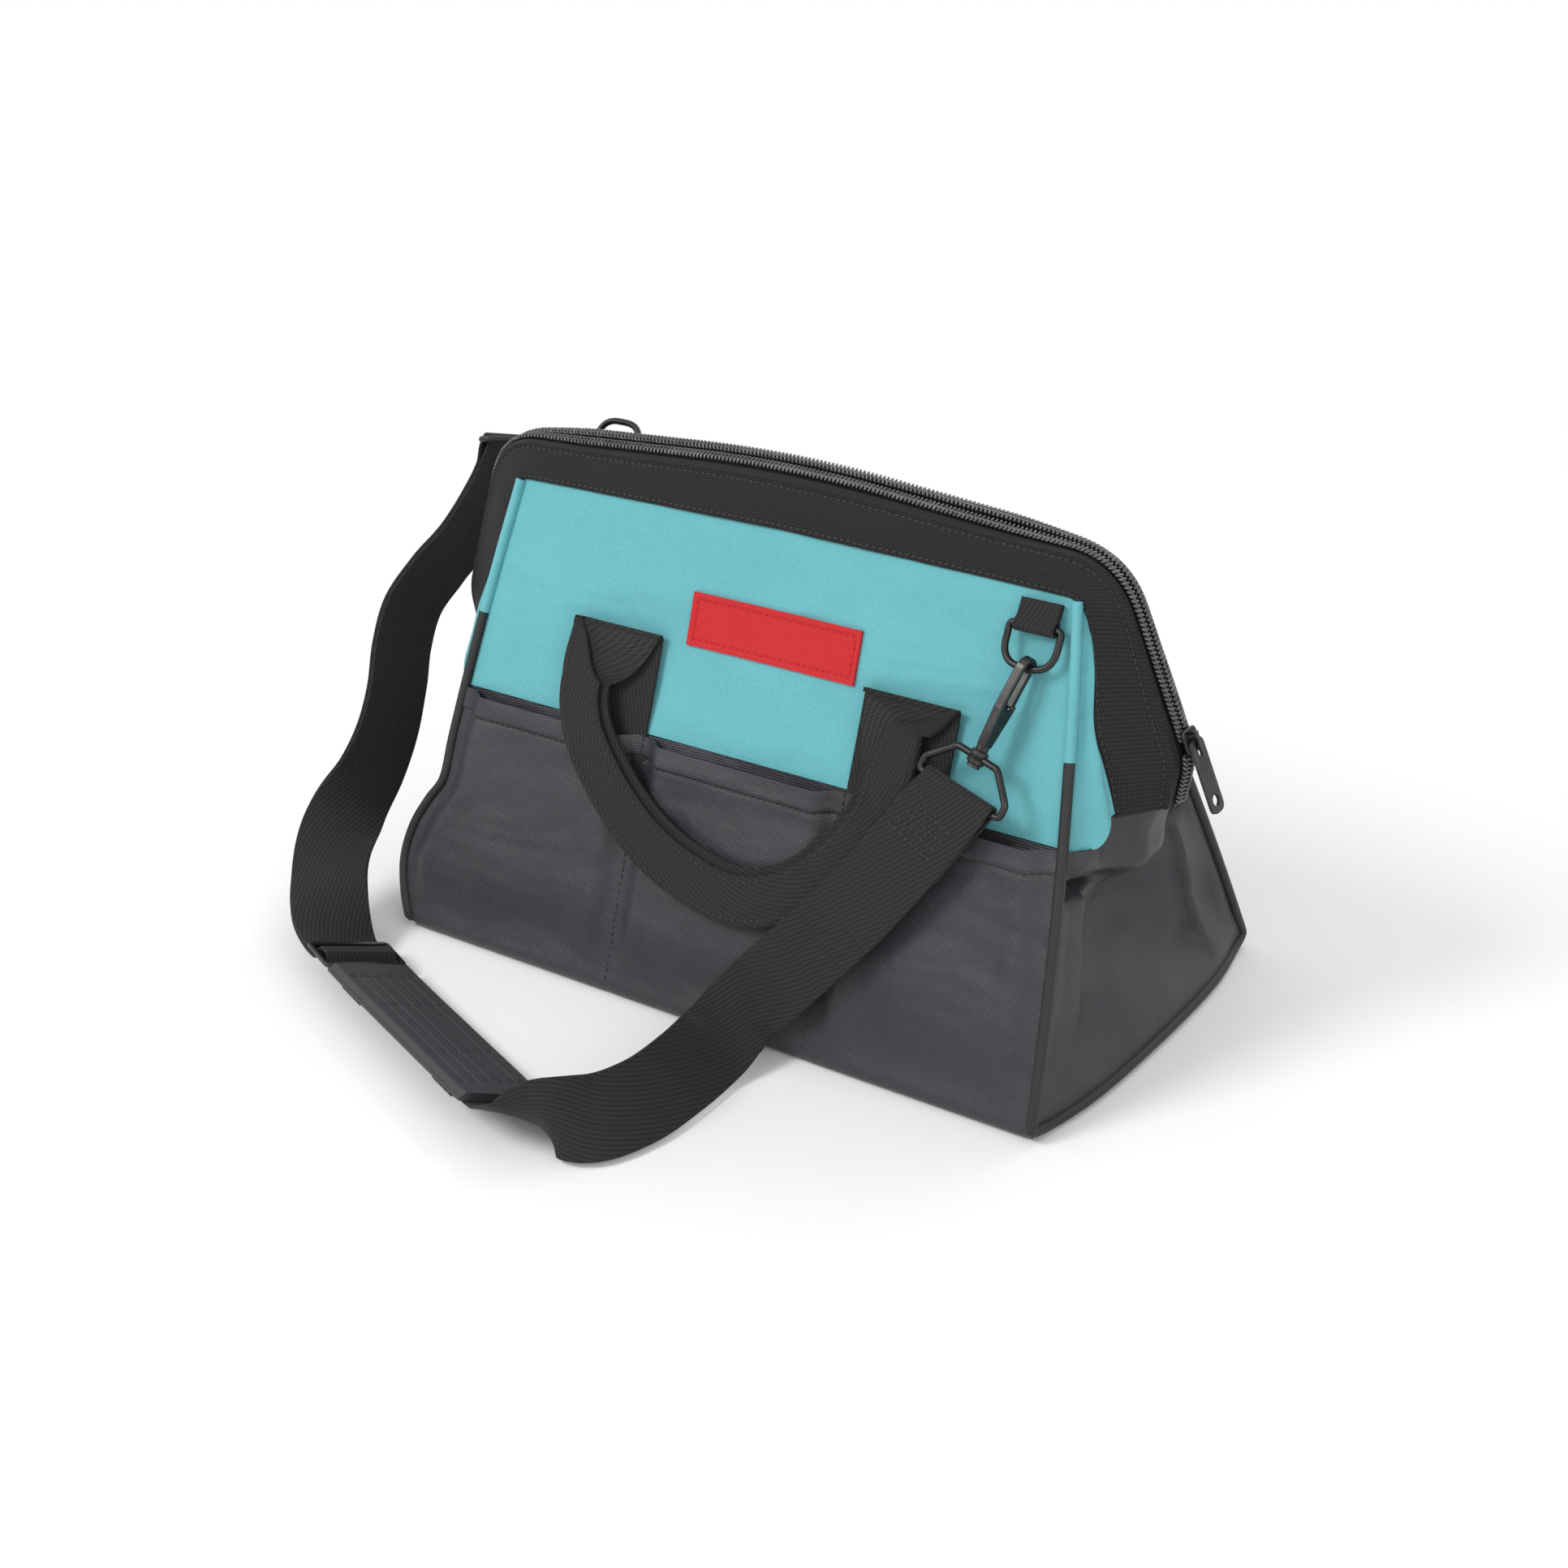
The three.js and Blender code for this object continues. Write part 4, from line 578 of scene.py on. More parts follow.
def end_tree(tree, shape, group):
    real = add_node(tree, "GeometryNodeRealizeInstances", {"Geometry": shape})
    painted = add_node(tree, "GeometryNodeSetMaterial",
                       {"Geometry": real, "Material": group.outputs["Material"]})
    out = tree.nodes.new("NodeGroupOutput")
    tree.links.new(painted, out.inputs[0])
    return tree


def stitch_tree():
    """Short bulged threads laid end to end along every path."""
    tree, group = tree_with_sockets("Stitches along a path", ("Stitch length", "Thread width", "Pitch"))
    line = add_node(tree, "GeometryNodeMeshToCurve", {"Mesh": group.outputs["Path"]})
    points = add_node(tree, "GeometryNodeCurveToPoints",
                      {"Curve": line, "Length": group.outputs["Pitch"]}, "Points", mode="LENGTH")
    turns = points.node.outputs["Rotation"]
    thread = add_node(tree, "GeometryNodeMeshUVSphere", {"Segments": 6, "Rings": 4, "Radius": 0.5})
    width = group.outputs["Thread width"]
    size = add_node(tree, "ShaderNodeCombineXYZ", {0: width, 1: width, 2: group.outputs["Stitch length"]})
    stitch = add_node(tree, "GeometryNodeTransform", {"Geometry": thread, "Scale": size})
    spread = add_node(tree, "GeometryNodeInstanceOnPoints",
                      {"Points": points, "Instance": stitch, "Rotation": turns})
    return end_tree(tree, spread, group)


def filament_tree():
    """A round filament drawn along every path."""
    tree, group = tree_with_sockets("Filament along a path", ("Radius",))
    line = add_node(tree, "GeometryNodeMeshToCurve", {"Mesh": group.outputs["Path"]})
    section = add_node(tree, "GeometryNodeCurvePrimitiveCircle",
                       {"Resolution": 6, "Radius": group.outputs["Radius"]})
    drawn = add_node(tree, "GeometryNodeCurveToMesh",
                     {"Curve": line, "Profile Curve": section, "Fill Caps": True})
    return end_tree(tree, drawn, group)


def through_tree(obj, tree, sizes, material_name):
    """Runs a node tree on an object and keeps the result as a plain mesh."""
    modifier = obj.modifiers.new("Pattern", "NODES")
    modifier.node_group = tree
    values = dict(sizes, Material=material(material_name))
    for item in tree.interface.items_tree:
        if item.in_out == "INPUT" and item.name in values:
            modifier[item.identifier] = values[item.name]
    obj.update_tag()
    evaluated = obj.evaluated_get(bpy.context.evaluated_depsgraph_get())
    mesh = bpy.data.meshes.new_from_object(evaluated)
    obj.modifiers.remove(modifier)
    obj.data = mesh
    return finish_mesh(obj, material_name, 60)


def stitched(name, runs, material_name="Black sewing thread", length=2.6, width=0.75, pitch=3.4):
    tree = bpy.data.node_groups.get("Stitches along a path") or stitch_tree()
    sizes = {"Stitch length": length * MM, "Thread width": width * MM, "Pitch": pitch * MM}
    return through_tree(path_object(name, runs), tree, sizes, material_name)


# Shape of the cloth body

def half_length(z, end):
    z = np.asarray(z, float)
    bowed = BASE_LENGTH / 2 - PIPING_SETBACK - TAPER * z + TAPER_CURVE * z * (CANVAS_TOP - z)
    sag = np.where((z < END_SAG_TOP) & (np.asarray(end) < 0), END_SAG * np.sin(math.pi * z / END_SAG_TOP), 0)
    return bowed + sag


def outer_wall(z):
    return BASE_DEPTH / 2 - WALL_SLOPE * z


def roll_inset(z):
    depth = np.maximum(0, 1 - np.asarray(z, float) / BOTTOM_ROLL)
    return BOTTOM_ROLL * (1 - np.sqrt(1 - depth * depth)) * 0.9


def wall_grid(heights, shares, side, inset):
    """A plain long wall, whose ends run into the pipings that they are sewn to."""
    z, u = np.meshgrid(heights, shares, indexing="ij")
    x = u * (half_length(z, np.sign(u)) - SEAM_DEPTH)
    return np.stack([x, side * (outer_wall(z) - roll_inset(z) - inset), z], axis=2)


def pocket_lift(x, z):
    reach = half_length(z, np.sign(x)) - PIPING_RADIUS
    edges = [-reach, np.full_like(x, POCKET_SEAMS[0]), np.full_like(x, POCKET_SEAMS[1]), reach]
    away = np.min([np.abs(x - edge) for edge in edges], axis=0)
    return away, POCKET_ROOM * ease(away, SEAM_HALF_WIDTH / 2, SEAM_HALF_WIDTH * 2) * ease(z, 8, 40)


def pocket_surface(grid, side, lift=0.0):
    """Puts the pocket cloth's fullness, hem and soft hollows on a plain wall grid."""
    x, z = grid[..., 0], grid[..., 2]
    turned = x * (1 if side == FRONT else -1)
    away, room = pocket_lift(turned, z)
    loose = ease(away, 4, 30) * ease(z, 4, 22) * (1 - ease(z, 96, 112))
    wide, fine = rough(grid, *POCKET_HOLLOWS, 7 + side), rough(grid, *POCKET_WRINKLES, 3 + side)
    hollows = wide * loose + fine * loose
    hem_line = POCKET_TOP - HEM_WIDTH
    hem = HEM_RISE * ease(z, hem_line, hem_line + 1.2)
    groove = -HEM_GROOVE * np.exp(-((z - hem_line) / 1.2) ** 2) * (away > 2)
    seam = -0.35 * np.exp(-(away / 1.6) ** 2)
    out = room + hollows + hem + groove + seam + lift
    result = grid.copy()
    result[..., 1] += side * out
    return result


def canvas_depth(x, z):
    across = np.cos(math.pi / 2 * np.minimum(1, np.abs(x) / CANVAS_TOP_HALF_LENGTH))
    upward = np.clip((z - POCKET_TOP) / (CANVAS_TOP - POCKET_TOP), 0, 1)
    return outer_wall(z) - WALL_INSET - CANVAS_SAG * across * np.sin(math.pi * upward)


def canvas_hollows(grid, side):
    x, z = grid[..., 0], grid[..., 2]
    loose = ease(z, POCKET_TOP, POCKET_TOP + 25) * (1 - ease(z, CANVAS_TOP - 22, CANVAS_TOP - 2))
    loose = loose * (1 - ease(np.abs(x), 132, 150))
    folds = rough(grid, *CANVAS_HOLLOWS, 21 + side) + rough(grid, *CANVAS_WRINKLES, 31 + side)
    return folds * loose


def canvas_grid(heights, shares, side, inset=0.0):
    grid = wall_grid(heights, shares, side, 0)
    grid[..., 1] = side * (canvas_depth(grid[..., 0], grid[..., 2]) - inset + canvas_hollows(grid, side))
    return grid


WALL_NORMAL = unit((0, -1, WALL_SLOPE))
WALL_DOWN = unit((0, -WALL_SLOPE, -1))


def on_wall(x, z, lift, side):
    """Points off the canvas, named by their place on the front; the back is the front turned about Z."""
    x, z, lift = np.broadcast_arrays(np.asarray(x, float), np.asarray(z, float), np.asarray(lift, float))
    points = np.stack([x, -canvas_depth(x, z), z], axis=-1) + WALL_NORMAL * lift[..., None]
    return points if side == FRONT else points * (-1, -1, 1)


def normal_of(side):
    return WALL_NORMAL if side == FRONT else WALL_NORMAL * (1, -1, 1)


def mouth_of(side):
    return "front_mouth" if side == FRONT else "back_mouth"


def canvas_blend(side):
    return ("bag", mouth_of(side), (0, 0, POCKET_TOP), (0, 0, CANVAS_TOP))


# End walls

END_COLUMNS = 97
END_MIDDLE = END_COLUMNS // 2
END_RIDGE = smooth_run([
    (188, 0, 6), (187, 0, 16), (174, 0, 42), (165, 0, 70), (170, 0, 93), (186, 0, 104), (191, 0, 113),
], 20)
FOLD_LIFT_MIDDLE, FOLD_LIFT_EDGE = 14, 4.6
OVERHANG = 4.2
CREASE_DEPTH = 11
CREASE_WIDTH = 3.8
FLARE = 3.4
UPRIGHT_HOLLOW = 5.5


def end_wall_x(z, across, end):
    share = np.clip((z - 6) / (FOLD_TOP - 5), 0, 1)
    place = share * (len(END_RIDGE) - 1)
    ridge = np.interp(place, np.arange(len(END_RIDGE)), END_RIDGE[:, 0])
    edge = half_length(z, end) + 4 * np.sin(math.pi * np.minimum(1, (1 - across) / 0.7))
    return mix(ridge, edge, ease(across, 0.12, 0.62))


def end_wall_grid(end, heights):
    """An end wall with its hollows, its crease with the overhang above it and its fold."""
    z, share = np.meshgrid(heights, np.linspace(-1, 1, END_COLUMNS), indexing="ij")
    reach = outer_wall(z) - roll_inset(z) - PIPING_RADIUS - GAP - 0.5 * CLOTH
    across = np.abs(share)
    rise = mix(FOLD_LIFT_MIDDLE, FOLD_LIFT_EDGE, ease(across, 0.62, 0.84))
    rise = rise * ease(z, CREASE_HEIGHT + 2, FOLD_TOP)
    floor = np.array([place for place in piping_run(end, FRONT) if place[2] < PIPING_FLOOR + 0.5])[::-1]
    x = end_wall_x(z, across, end)
    along_floor = np.interp(np.abs(share * reach), -floor[:, 1], end * floor[:, 0])
    x = mix(along_floor, x, ease(z, PIPING_FLOOR + 2, 24))
    fold_line = 100 - 12 * (1 - across)
    folded = ease(across, 0.2, 0.5) * (1 - ease(across, 0.9, 0.99)) * np.where(share < 0, 1, 0.7)
    overhang = OVERHANG * np.exp(-((z - fold_line - 8) / 6) ** 2)
    tuck = overhang - CREASE_DEPTH * np.exp(-((z - fold_line) / CREASE_WIDTH) ** 2)
    x = x + folded * tuck
    flare = FLARE * ease(z, 96, FOLD_TOP) * ease(across, 0.5, 0.66) * (1 - ease(across, 0.86, 1))
    point = np.stack([end * x, share * reach, z + rise], axis=2)
    loose = ease(z, 12, 30) * (1 - ease(across, 0.85, 0.98))
    dents = rough(point, *END_HOLLOWS, 50 + end) + rough(point, *END_WRINKLES, 61 + end)
    below_top = 1 - ease(z, 103, FOLD_TOP)
    upright = -UPRIGHT_HOLLOW * (1 - ease(across, 0.61, 0.69)) * ease(z, 8, 30)
    upright = upright * (1 - ease(z, 84, CREASE_HEIGHT))
    point[..., 0] += end * (flare + upright + dents * loose * below_top)
    return point


def piping_run(end, side):
    """One half of a side's piping, from under the band down and across half of the floor edge."""
    def centre(z):
        depth = outer_wall(z) - roll_inset(z) - CLOTH / 2
        return np.stack([end * half_length(z, end), side * depth, z], axis=-1)

    heights = np.array([CANVAS_TOP, 170, POCKET_TOP, 92, END_SAG_TOP, 62, 48, 32, 18, 9, 6], float)
    bulge = end_wall_x(np.array(6.0), np.array(0.0), end) - 1
    low = centre(np.array(PIPING_FLOOR))
    floor = [
        (low[0] * 1.005, low[1] - side * 9, PIPING_FLOOR),
        (end * mix(abs(low[0]), bulge, 0.75), low[1] * 0.6, PIPING_FLOOR),
        (end * bulge, 0, PIPING_FLOOR),
    ]
    mirror = [(p[0], -p[1], p[2]) for p in reversed(floor[:-1])]
    run = smooth_run(np.vstack([centre(heights), floor, mirror]), 8)
    stop = np.argmin(np.abs(run[40:, 1])) + 41
    return run[:stop]


# Mouth

def zip_and_band_runs():
    half = [(LEG_END[0], 0, LEG_END[1]), (LEG_KNEE[0], 0, LEG_KNEE[1]), (MOUTH_CORNER[0], 0, MOUTH_CORNER[1])]
    points = half + [(0, 0, MOUTH_HEIGHT)] + [(-x, y, z) for x, y, z in reversed(half)]
    zip_run = rounded_run(points, [0, 26, 38, 700, 38, 26, 0])
    inner = [(INNER_LEG_END[0], 0, INNER_LEG_END[1]), (CANVAS_TOP_HALF_LENGTH + 1, 0, CANVAS_TOP + 1)]
    points = inner + [(0, 0, CANVAS_TOP + 3)] + [(-x, y, z) for x, y, z in reversed(inner)]
    return zip_run, rounded_run(points, [0, 12, 500, 12, 0])


ZIP_RUN, BAND_RUN = zip_and_band_runs()
KNEE = np.array([LEG_KNEE[0], 0, LEG_KNEE[1]], float)
SLIDER_UP = unit(np.array([MOUTH_CORNER[0], 0, MOUTH_CORNER[1]]) - KNEE)
LOWER_LEG_UP = unit(KNEE - np.array([LEG_END[0], 0, LEG_END[1]]))
KNEE_REACH = 26 * math.tan(math.acos(float(np.dot(LOWER_LEG_UP, SLIDER_UP))) / 2)
SLIDER_AT = KNEE + SLIDER_UP * KNEE_REACH
SLIDER_NECK_LENGTH = 5
SLIDER_NECK_OFFSET = 2.5
ZIP_KNOTS = (0, 0.175, 0.265, 0.735, 0.825, 1)
BAND_KNOTS = (0, 0.165, 0.2, 0.8, 0.835, 1)
STATION_COUNTS = (24, 30, 48, 30, 24)


def station_shares(knots):
    parts = [np.linspace(knots[i], knots[i + 1], n, endpoint=False) for i, n in enumerate(STATION_COUNTS)]
    return np.concatenate(parts + [[1.0]])


ZIP_POINTS = at_shares(ZIP_RUN, station_shares(ZIP_KNOTS))
BAND_POINTS = at_shares(BAND_RUN, station_shares(BAND_KNOTS))


def mouth_grid(parts, side):
    """Stations round the mouth, with columns from the zip, part 0, to the band's lower edge, part 1."""
    depth = mix(INNER_LEG_DEPTH, CANVAS_TOP_DEPTH, ease(BAND_POINTS[:, 2], LEG_KNEE[1] + 8, CANVAS_TOP - 6))
    edge = BAND_POINTS.copy()
    edge[:, 1] = side * depth
    bend = ZIP_POINTS + (BAND_POINTS - ZIP_POINTS) * 0.2
    bend[:, 1] = side * (8 + depth * 0.12)
    rise = ZIP_POINTS.copy()
    rise[:, 1] = side * 7
    t = np.asarray(parts, float)[None, :, None]
    weights = (1 - t) ** 3, 3 * t * (1 - t) ** 2, 3 * t * t * (1 - t), t ** 3
    runs = ZIP_POINTS, rise, bend, edge
    return sum(points[:, None] * weight for points, weight in zip(runs, weights))


LEAN = 0.62
LEAN_REACH = 9
LIFT_REACH = 12


def leant(points):
    """Leans the zip's top run to the front and lifts the back band over it, as the closed mouth lies."""
    points = np.array(points, float)
    x, y, z = points[..., 0], points[..., 1], points[..., 2]
    near_top = ease(z, CANVAS_TOP + 8, MOUTH_HEIGHT - 10) * (1 - ease(np.abs(x), 110, 168))
    lean = LEAN * y * np.exp(-(y / LEAN_REACH) ** 2)
    points[..., 2] += near_top * (lean + np.exp(-(y / LIFT_REACH) ** 2))
    return points


def band_back_at(z, part, clear=0.6):
    """Place behind the band's cloth at a part of its width, for heights on the right end."""
    grid = mouth_grid([part - 0.02, part, part + 0.02], BACK)
    behind = moved_out(grid, np.full(grid.shape[:2], -(WEB + clear)), MOUTH_INSIDE)[:, 1]
    leg = behind[(behind[:, 0] > 100) & (behind[:, 2] < CANVAS_TOP - 1)]
    order = np.argsort(leg[:, 2])
    low, high = leg[order[0]], leg[order[1]]
    x = np.interp(z, leg[order, 2], leg[order, 0])
    x = np.where(z < low[2], low[0] + (high[0] - low[0]) * (z - low[2]) / max(high[2] - low[2], 0.5), x)
    return x, np.interp(z, leg[order, 2], leg[order, 1])


GUSSET_ROWS = 58
GUSSET_COLUMNS = 34
TUCK_COLUMNS = 4


def gusset_grid(end, side):
    """Slack cloth from the piping out over a bulge and in behind the band, with soft upright folds."""
    t = np.concatenate([np.linspace(0, 1, GUSSET_COLUMNS), np.ones(TUCK_COLUMNS)])
    tucked = np.concatenate([np.zeros(GUSSET_COLUMNS), np.linspace(0.25, 1, TUCK_COLUMNS)])[None, :, None]
    low = mix(POCKET_TOP - 1, LEG_END[1] + 1.5, ease(t, 0.3, 0.62))
    z = mix(low, CANVAS_TOP - 1, np.linspace(0, 1, GUSSET_ROWS)[:, None])
    share = np.clip((z - POCKET_TOP) / (CANVAS_TOP - 9 - POCKET_TOP), 0, 1)
    start = np.stack([half_length(z, end) + 0.5, outer_wall(z) - PIPING_RADIUS - GAP - GUSSET], axis=2)
    near, far = (np.stack(band_back_at(z, part), axis=2) for part in (0.97, 0.8))
    bulge = np.maximum(0.4, np.minimum(mix(13, 2, share), 0.9 * (start - near)[..., 1]))
    control = (start + near) / 2 + np.stack([bulge, 0 * bulge], axis=2)
    s = t[None, :, None]
    flat = (1 - s) ** 2 * start + 2 * s * (1 - s) * control + s * s * near
    flat = mix(flat, far, tucked)
    flat[..., 0] -= 2.2 * np.sin(3 * math.pi * t) * np.sin(math.pi * t) * (1 - share) ** 0.7
    grid = np.stack([end * flat[..., 0], side * flat[..., 1], z], axis=2)
    fade = ease(z, POCKET_TOP + 4, POCKET_TOP + 25) * (1 - ease(z, 165, 185)) * np.sin(math.pi * t)
    grid[..., 0] += end * rough(grid, *GUSSET_FOLDS, 71 + end + 2 * side) * fade
    return grid


# Strap hardware frames

class Hanger:
    """A place for strap hardware: hangs along down, with its own X axis along sideways."""

    def __init__(self, centre, hang, sideways_hint):
        self.centre = np.asarray(centre, float)
        self.down = unit(hang)
        hint = np.asarray(sideways_hint, float)
        self.sideways = unit(hint - self.down * np.dot(hint, self.down))
        self.away = np.cross(self.down, self.sideways)

    def points(self, local):
        local = np.asarray(local, float)
        turned = local[:, :1] * self.sideways - local[:, 1:2] * self.away - local[:, 2:] * self.down
        return self.centre + turned


RING_BAR_HALF = D_RING_INSIDE / 2 + WIRE_RADIUS
RING_LIFT = WIRE_RADIUS + 3 * GAP + WEB
RIGHTWARDS = (1, 0, 0)
FRONT_HANGER = Hanger(on_wall(138, 200, RING_LIFT, FRONT), WALL_DOWN + WALL_NORMAL * 0.13, RIGHTWARDS)
FRONT_LOOP = Hanger(FRONT_HANGER.centre, WALL_DOWN + WALL_NORMAL * 0.2, RIGHTWARDS)
FRONT_CONTACT = FRONT_HANGER.centre + FRONT_HANGER.down * D_RING_HEIGHT
HOOK_LEAN = math.radians(16)
FRONT_PULL = WALL_DOWN * math.cos(HOOK_LEAN) + np.array((-math.sin(HOOK_LEAN), 0, 0)) + WALL_NORMAL * 0.13
FRONT_CHAIN = Hanger(FRONT_CONTACT, FRONT_PULL, RIGHTWARDS)
BACK_BAR = (-128, CANVAS_TOP_DEPTH + 14.5, CANVAS_TOP + 2.6)
BACK_LOOP = Hanger(BACK_BAR, (0, 0.97, 0.2), RIGHTWARDS)
BACK_HANGER = Hanger(BACK_BAR, (0, 0.57, 0.82), RIGHTWARDS)
BACK_CONTACT = np.array(BACK_BAR) + np.array((-RING_BAR_HALF, 0, 0)) + BACK_HANGER.down * 6.5
BACK_PULL = (-0.97, 0.1, -0.2)
BACK_SWIVEL = Hanger(BACK_CONTACT, BACK_PULL, (-0.1, 0.92, -0.37))
STRAP_BAR_REACH = -(BARREL_MIDDLE - STRAP_BAR_DROP)
FRONT_STRAP_BAR = FRONT_CHAIN.centre + FRONT_CHAIN.down * STRAP_BAR_REACH
BACK_STRAP_BAR = BACK_SWIVEL.centre + BACK_SWIVEL.down * STRAP_BAR_REACH
BAR_TURN = WIRE_RADIUS + GAP + STRAP_THICKNESS / 2
LAYER_PITCH = STRAP_THICKNESS + GAP

# Shoulder strap: centres and across directions of the lying webbing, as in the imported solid
STRAP_ROUTE = (
    (105, -70, 112, 0.8, -0.2, -0.56), (83, -80.5, 82, 0.8, -0.2, -0.56),
    (57, -92.8, 51.5, 0.8, -0.2, -0.56), (31, -99.5, 23, 0.84, -0.18, -0.5),
    (29, -113, 17, 0.9, 0, -0.43), (31.5, -130.5, 16.6, 0.64, 0.08, -0.75),
    (34, -153, 17.8, 0.54, 0, -0.84), (33, -178, 18.4, 0.47, -0.1, -0.87),
    (24.5, -198.5, 18.8, 0.39, -0.28, -0.88), (9, -210.5, 20.4, 0.14, -0.05, -0.99),
    (-6, -210.5, 15, 0.22, 0.72, -0.66), (-20, -205.2, 11.6, 0.36, 0.83, -0.41),
    (-52, -192.4, 10.4, 0.36, 0.85, -0.39), (-93, -176.6, 10.4, 0.36, 0.85, -0.39),
    (-133, -161.2, 10.6, 0.36, 0.85, -0.39), (-153.5, -153.3, 11.4, 0.36, 0.85, -0.39),
    (-168.5, -147.5, 12.6, 0.37, 0.85, -0.37), (-183.5, -141.5, 14.4, 0.42, 0.85, -0.33),
    (-198, -132, 21, 0.66, 0.74, -0.17), (-212, -117, 32, 0.88, 0.47, -0.02),
    (-221, -101, 42, 0.75, 0.65, -0.13), (-223, -86, 52, 0.46, 0.84, -0.27),
    (-221, -71, 65, 0.27, 0.91, -0.32), (-220, -57, 82, 0.15, 0.93, -0.34),
    (-221, -45, 102, 0.08, 0.94, -0.34), (-224, -35, 120, 0.08, 0.93, -0.36),
    (-224, -24, 137, 0.1, 0.92, -0.38), (-218, -10, 152, 0.13, 0.91, -0.39),
    (-209, 6, 168, 0.1, 0.92, -0.38), (-202, 21, 188, 0.05, 0.93, -0.36),
)
ROUTE_STEPS = 14
PAD_END_ROW = 16


def beside(bar, across, towards):
    along = unit(towards - bar)
    return bar + unit(np.cross(along, across)) * BAR_TURN


def strap_lines():
    rows = np.array(STRAP_ROUTE, float)
    centres, across = rows[:, :3], unit(rows[:, 3:])
    start = beside(FRONT_STRAP_BAR, FRONT_CHAIN.sideways, centres[0])
    end = beside(BACK_STRAP_BAR, BACK_SWIVEL.sideways, centres[-1])
    centres = np.vstack([start, centres, end])
    across = np.vstack([FRONT_CHAIN.sideways, across, BACK_SWIVEL.sideways])
    return smooth_run(centres, ROUTE_STEPS), smooth_run(across, ROUTE_STEPS)


STRAP_LINE, STRAP_ACROSS = strap_lines()
STRAP_RUN = lengths_along(STRAP_LINE)
STRAP_LENGTH = STRAP_RUN[-1]
STRAP_TANGENTS = unit(np.gradient(STRAP_LINE, axis=0))
PAD_END = STRAP_RUN[PAD_END_ROW * ROUTE_STEPS]
PAD_START = PAD_END - PAD_LENGTH
GLIDE_AT = PAD_END + GLIDE_HALF + 3
GLIDE_MIDDLE_BAR = 4
GLIDE_SLOT = 6.5
GLIDE_THICKNESS = 2.2
GLIDE_LIFT = STRAP_THICKNESS / 2 + 1.5 * GAP + GLIDE_THICKNESS / 2


def strap_at(distances):
    """Centre, across, tangent and normal of the strap at distances from its front bar."""
    d = np.clip(np.asarray(distances, float), 0, STRAP_LENGTH)
    centre, across, tangent = (
        np.stack([np.interp(d, STRAP_RUN, values[:, k]) for k in range(3)], axis=-1)
        for values in (STRAP_LINE, STRAP_ACROSS, STRAP_TANGENTS))
    across, tangent = unit(across), unit(tangent)
    square = ease(np.minimum(d, STRAP_LENGTH - d), 0, 24)
    across = unit(across - tangent * (np.sum(across * tangent, axis=-1) * square)[..., None])
    return centre, across, tangent, unit(np.cross(tangent, across))


def strap_layer(distances, lifts):
    centre, across, _, normal = strap_at(distances)
    return centre + normal * np.asarray(lifts)[:, None], across, normal


def round_bar(bar, at, outwards):
    """Half a turn of webbing round a bar, from under the strap's line to its top."""
    _, across, _, normal = (value[0] for value in strap_at([at]))
    square = unit(outwards - across * np.dot(outwards, across))
    angles = np.linspace(0, math.pi, 17)
    away = -normal * np.cos(angles)[:, None] + square * np.sin(angles)[:, None]
    return bar + away * BAR_TURN, np.repeat(across[None], 17, axis=0), away


# The whole bag, one group of pieces at a time

SHARES = np.linspace(-1, 1, 145)


def dense(*stretches):
    """Rising values through stretches given as low, high and count."""
    return np.unique(np.concatenate([np.linspace(*stretch) for stretch in stretches]))


def make_pocket(side, name):
    heights = dense((GAP, 9, 7), (10, 104, 32), (105, POCKET_TOP, 14))
    grid = pocket_surface(wall_grid(heights, SHARES, side, 0), side)
    obj = cloth_piece(f"{name}_pocket_cloth", grid, CLOTH, BAG_INSIDE, "Coated honeycomb cloth")
    settle(obj, "bag", replaces=[f"{name}_pocket_panel"])


def make_lower_wall(side, name):
    grid = wall_grid(np.linspace(3.5, POCKET_TOP, 24), np.linspace(-1, 1, 61), side, WALL_INSET)
    obj = cloth_piece(f"{name}_inner_wall_cloth", grid, CLOTH, BAG_INSIDE, "Coated honeycomb cloth")
    settle(obj, "bag", replaces=[f"{name}_lower_wall"])


def make_canvas(side, name):
    grid = canvas_grid(np.linspace(POCKET_TOP + GAP, CANVAS_TOP + 3.5, 62), SHARES, side)
    obj = cloth_piece(f"{name}_canvas_cloth", grid, CLOTH, BAG_INSIDE, "Teal oxford canvas")
    settle(obj, blend=canvas_blend(side), replaces=[f"{name}_canvas"])


def make_gusset(end, end_name, side, side_name):
    grid = gusset_grid(end, side)
    name = f"{side_name}_{end_name}_gusset"
    obj = cloth_piece(f"{name}_cloth", grid, GUSSET, (end * 120, side * 5, 160), "Teal oxford canvas")
    settle(obj, blend=canvas_blend(side), replaces=[name])


def make_end(end, name):
    grid = end_wall_grid(end, np.linspace(PIPING_FLOOR, CREASE_HEIGHT, 60))
    obj = cloth_piece(f"{name}_end_cloth", grid, CLOTH, BAG_INSIDE, "Coated honeycomb cloth")
    settle(obj, "bag", replaces=[f"{name}_end_panel"])
    fold = end_wall_grid(end, np.linspace(CREASE_HEIGHT, FOLD_TOP, 16))
    halves = ("front", fold[:, :END_MIDDLE + 1]), ("back", fold[:, END_MIDDLE:])
    for side_name, half in halves:
        piece = cloth_piece(f"{name}_{side_name}_end_fold_cloth", half, CLOTH, BAG_INSIDE,
                            "Coated honeycomb cloth")
        settle(piece, "bag", replaces=[f"{name}_end_fold"])
        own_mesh(piece)


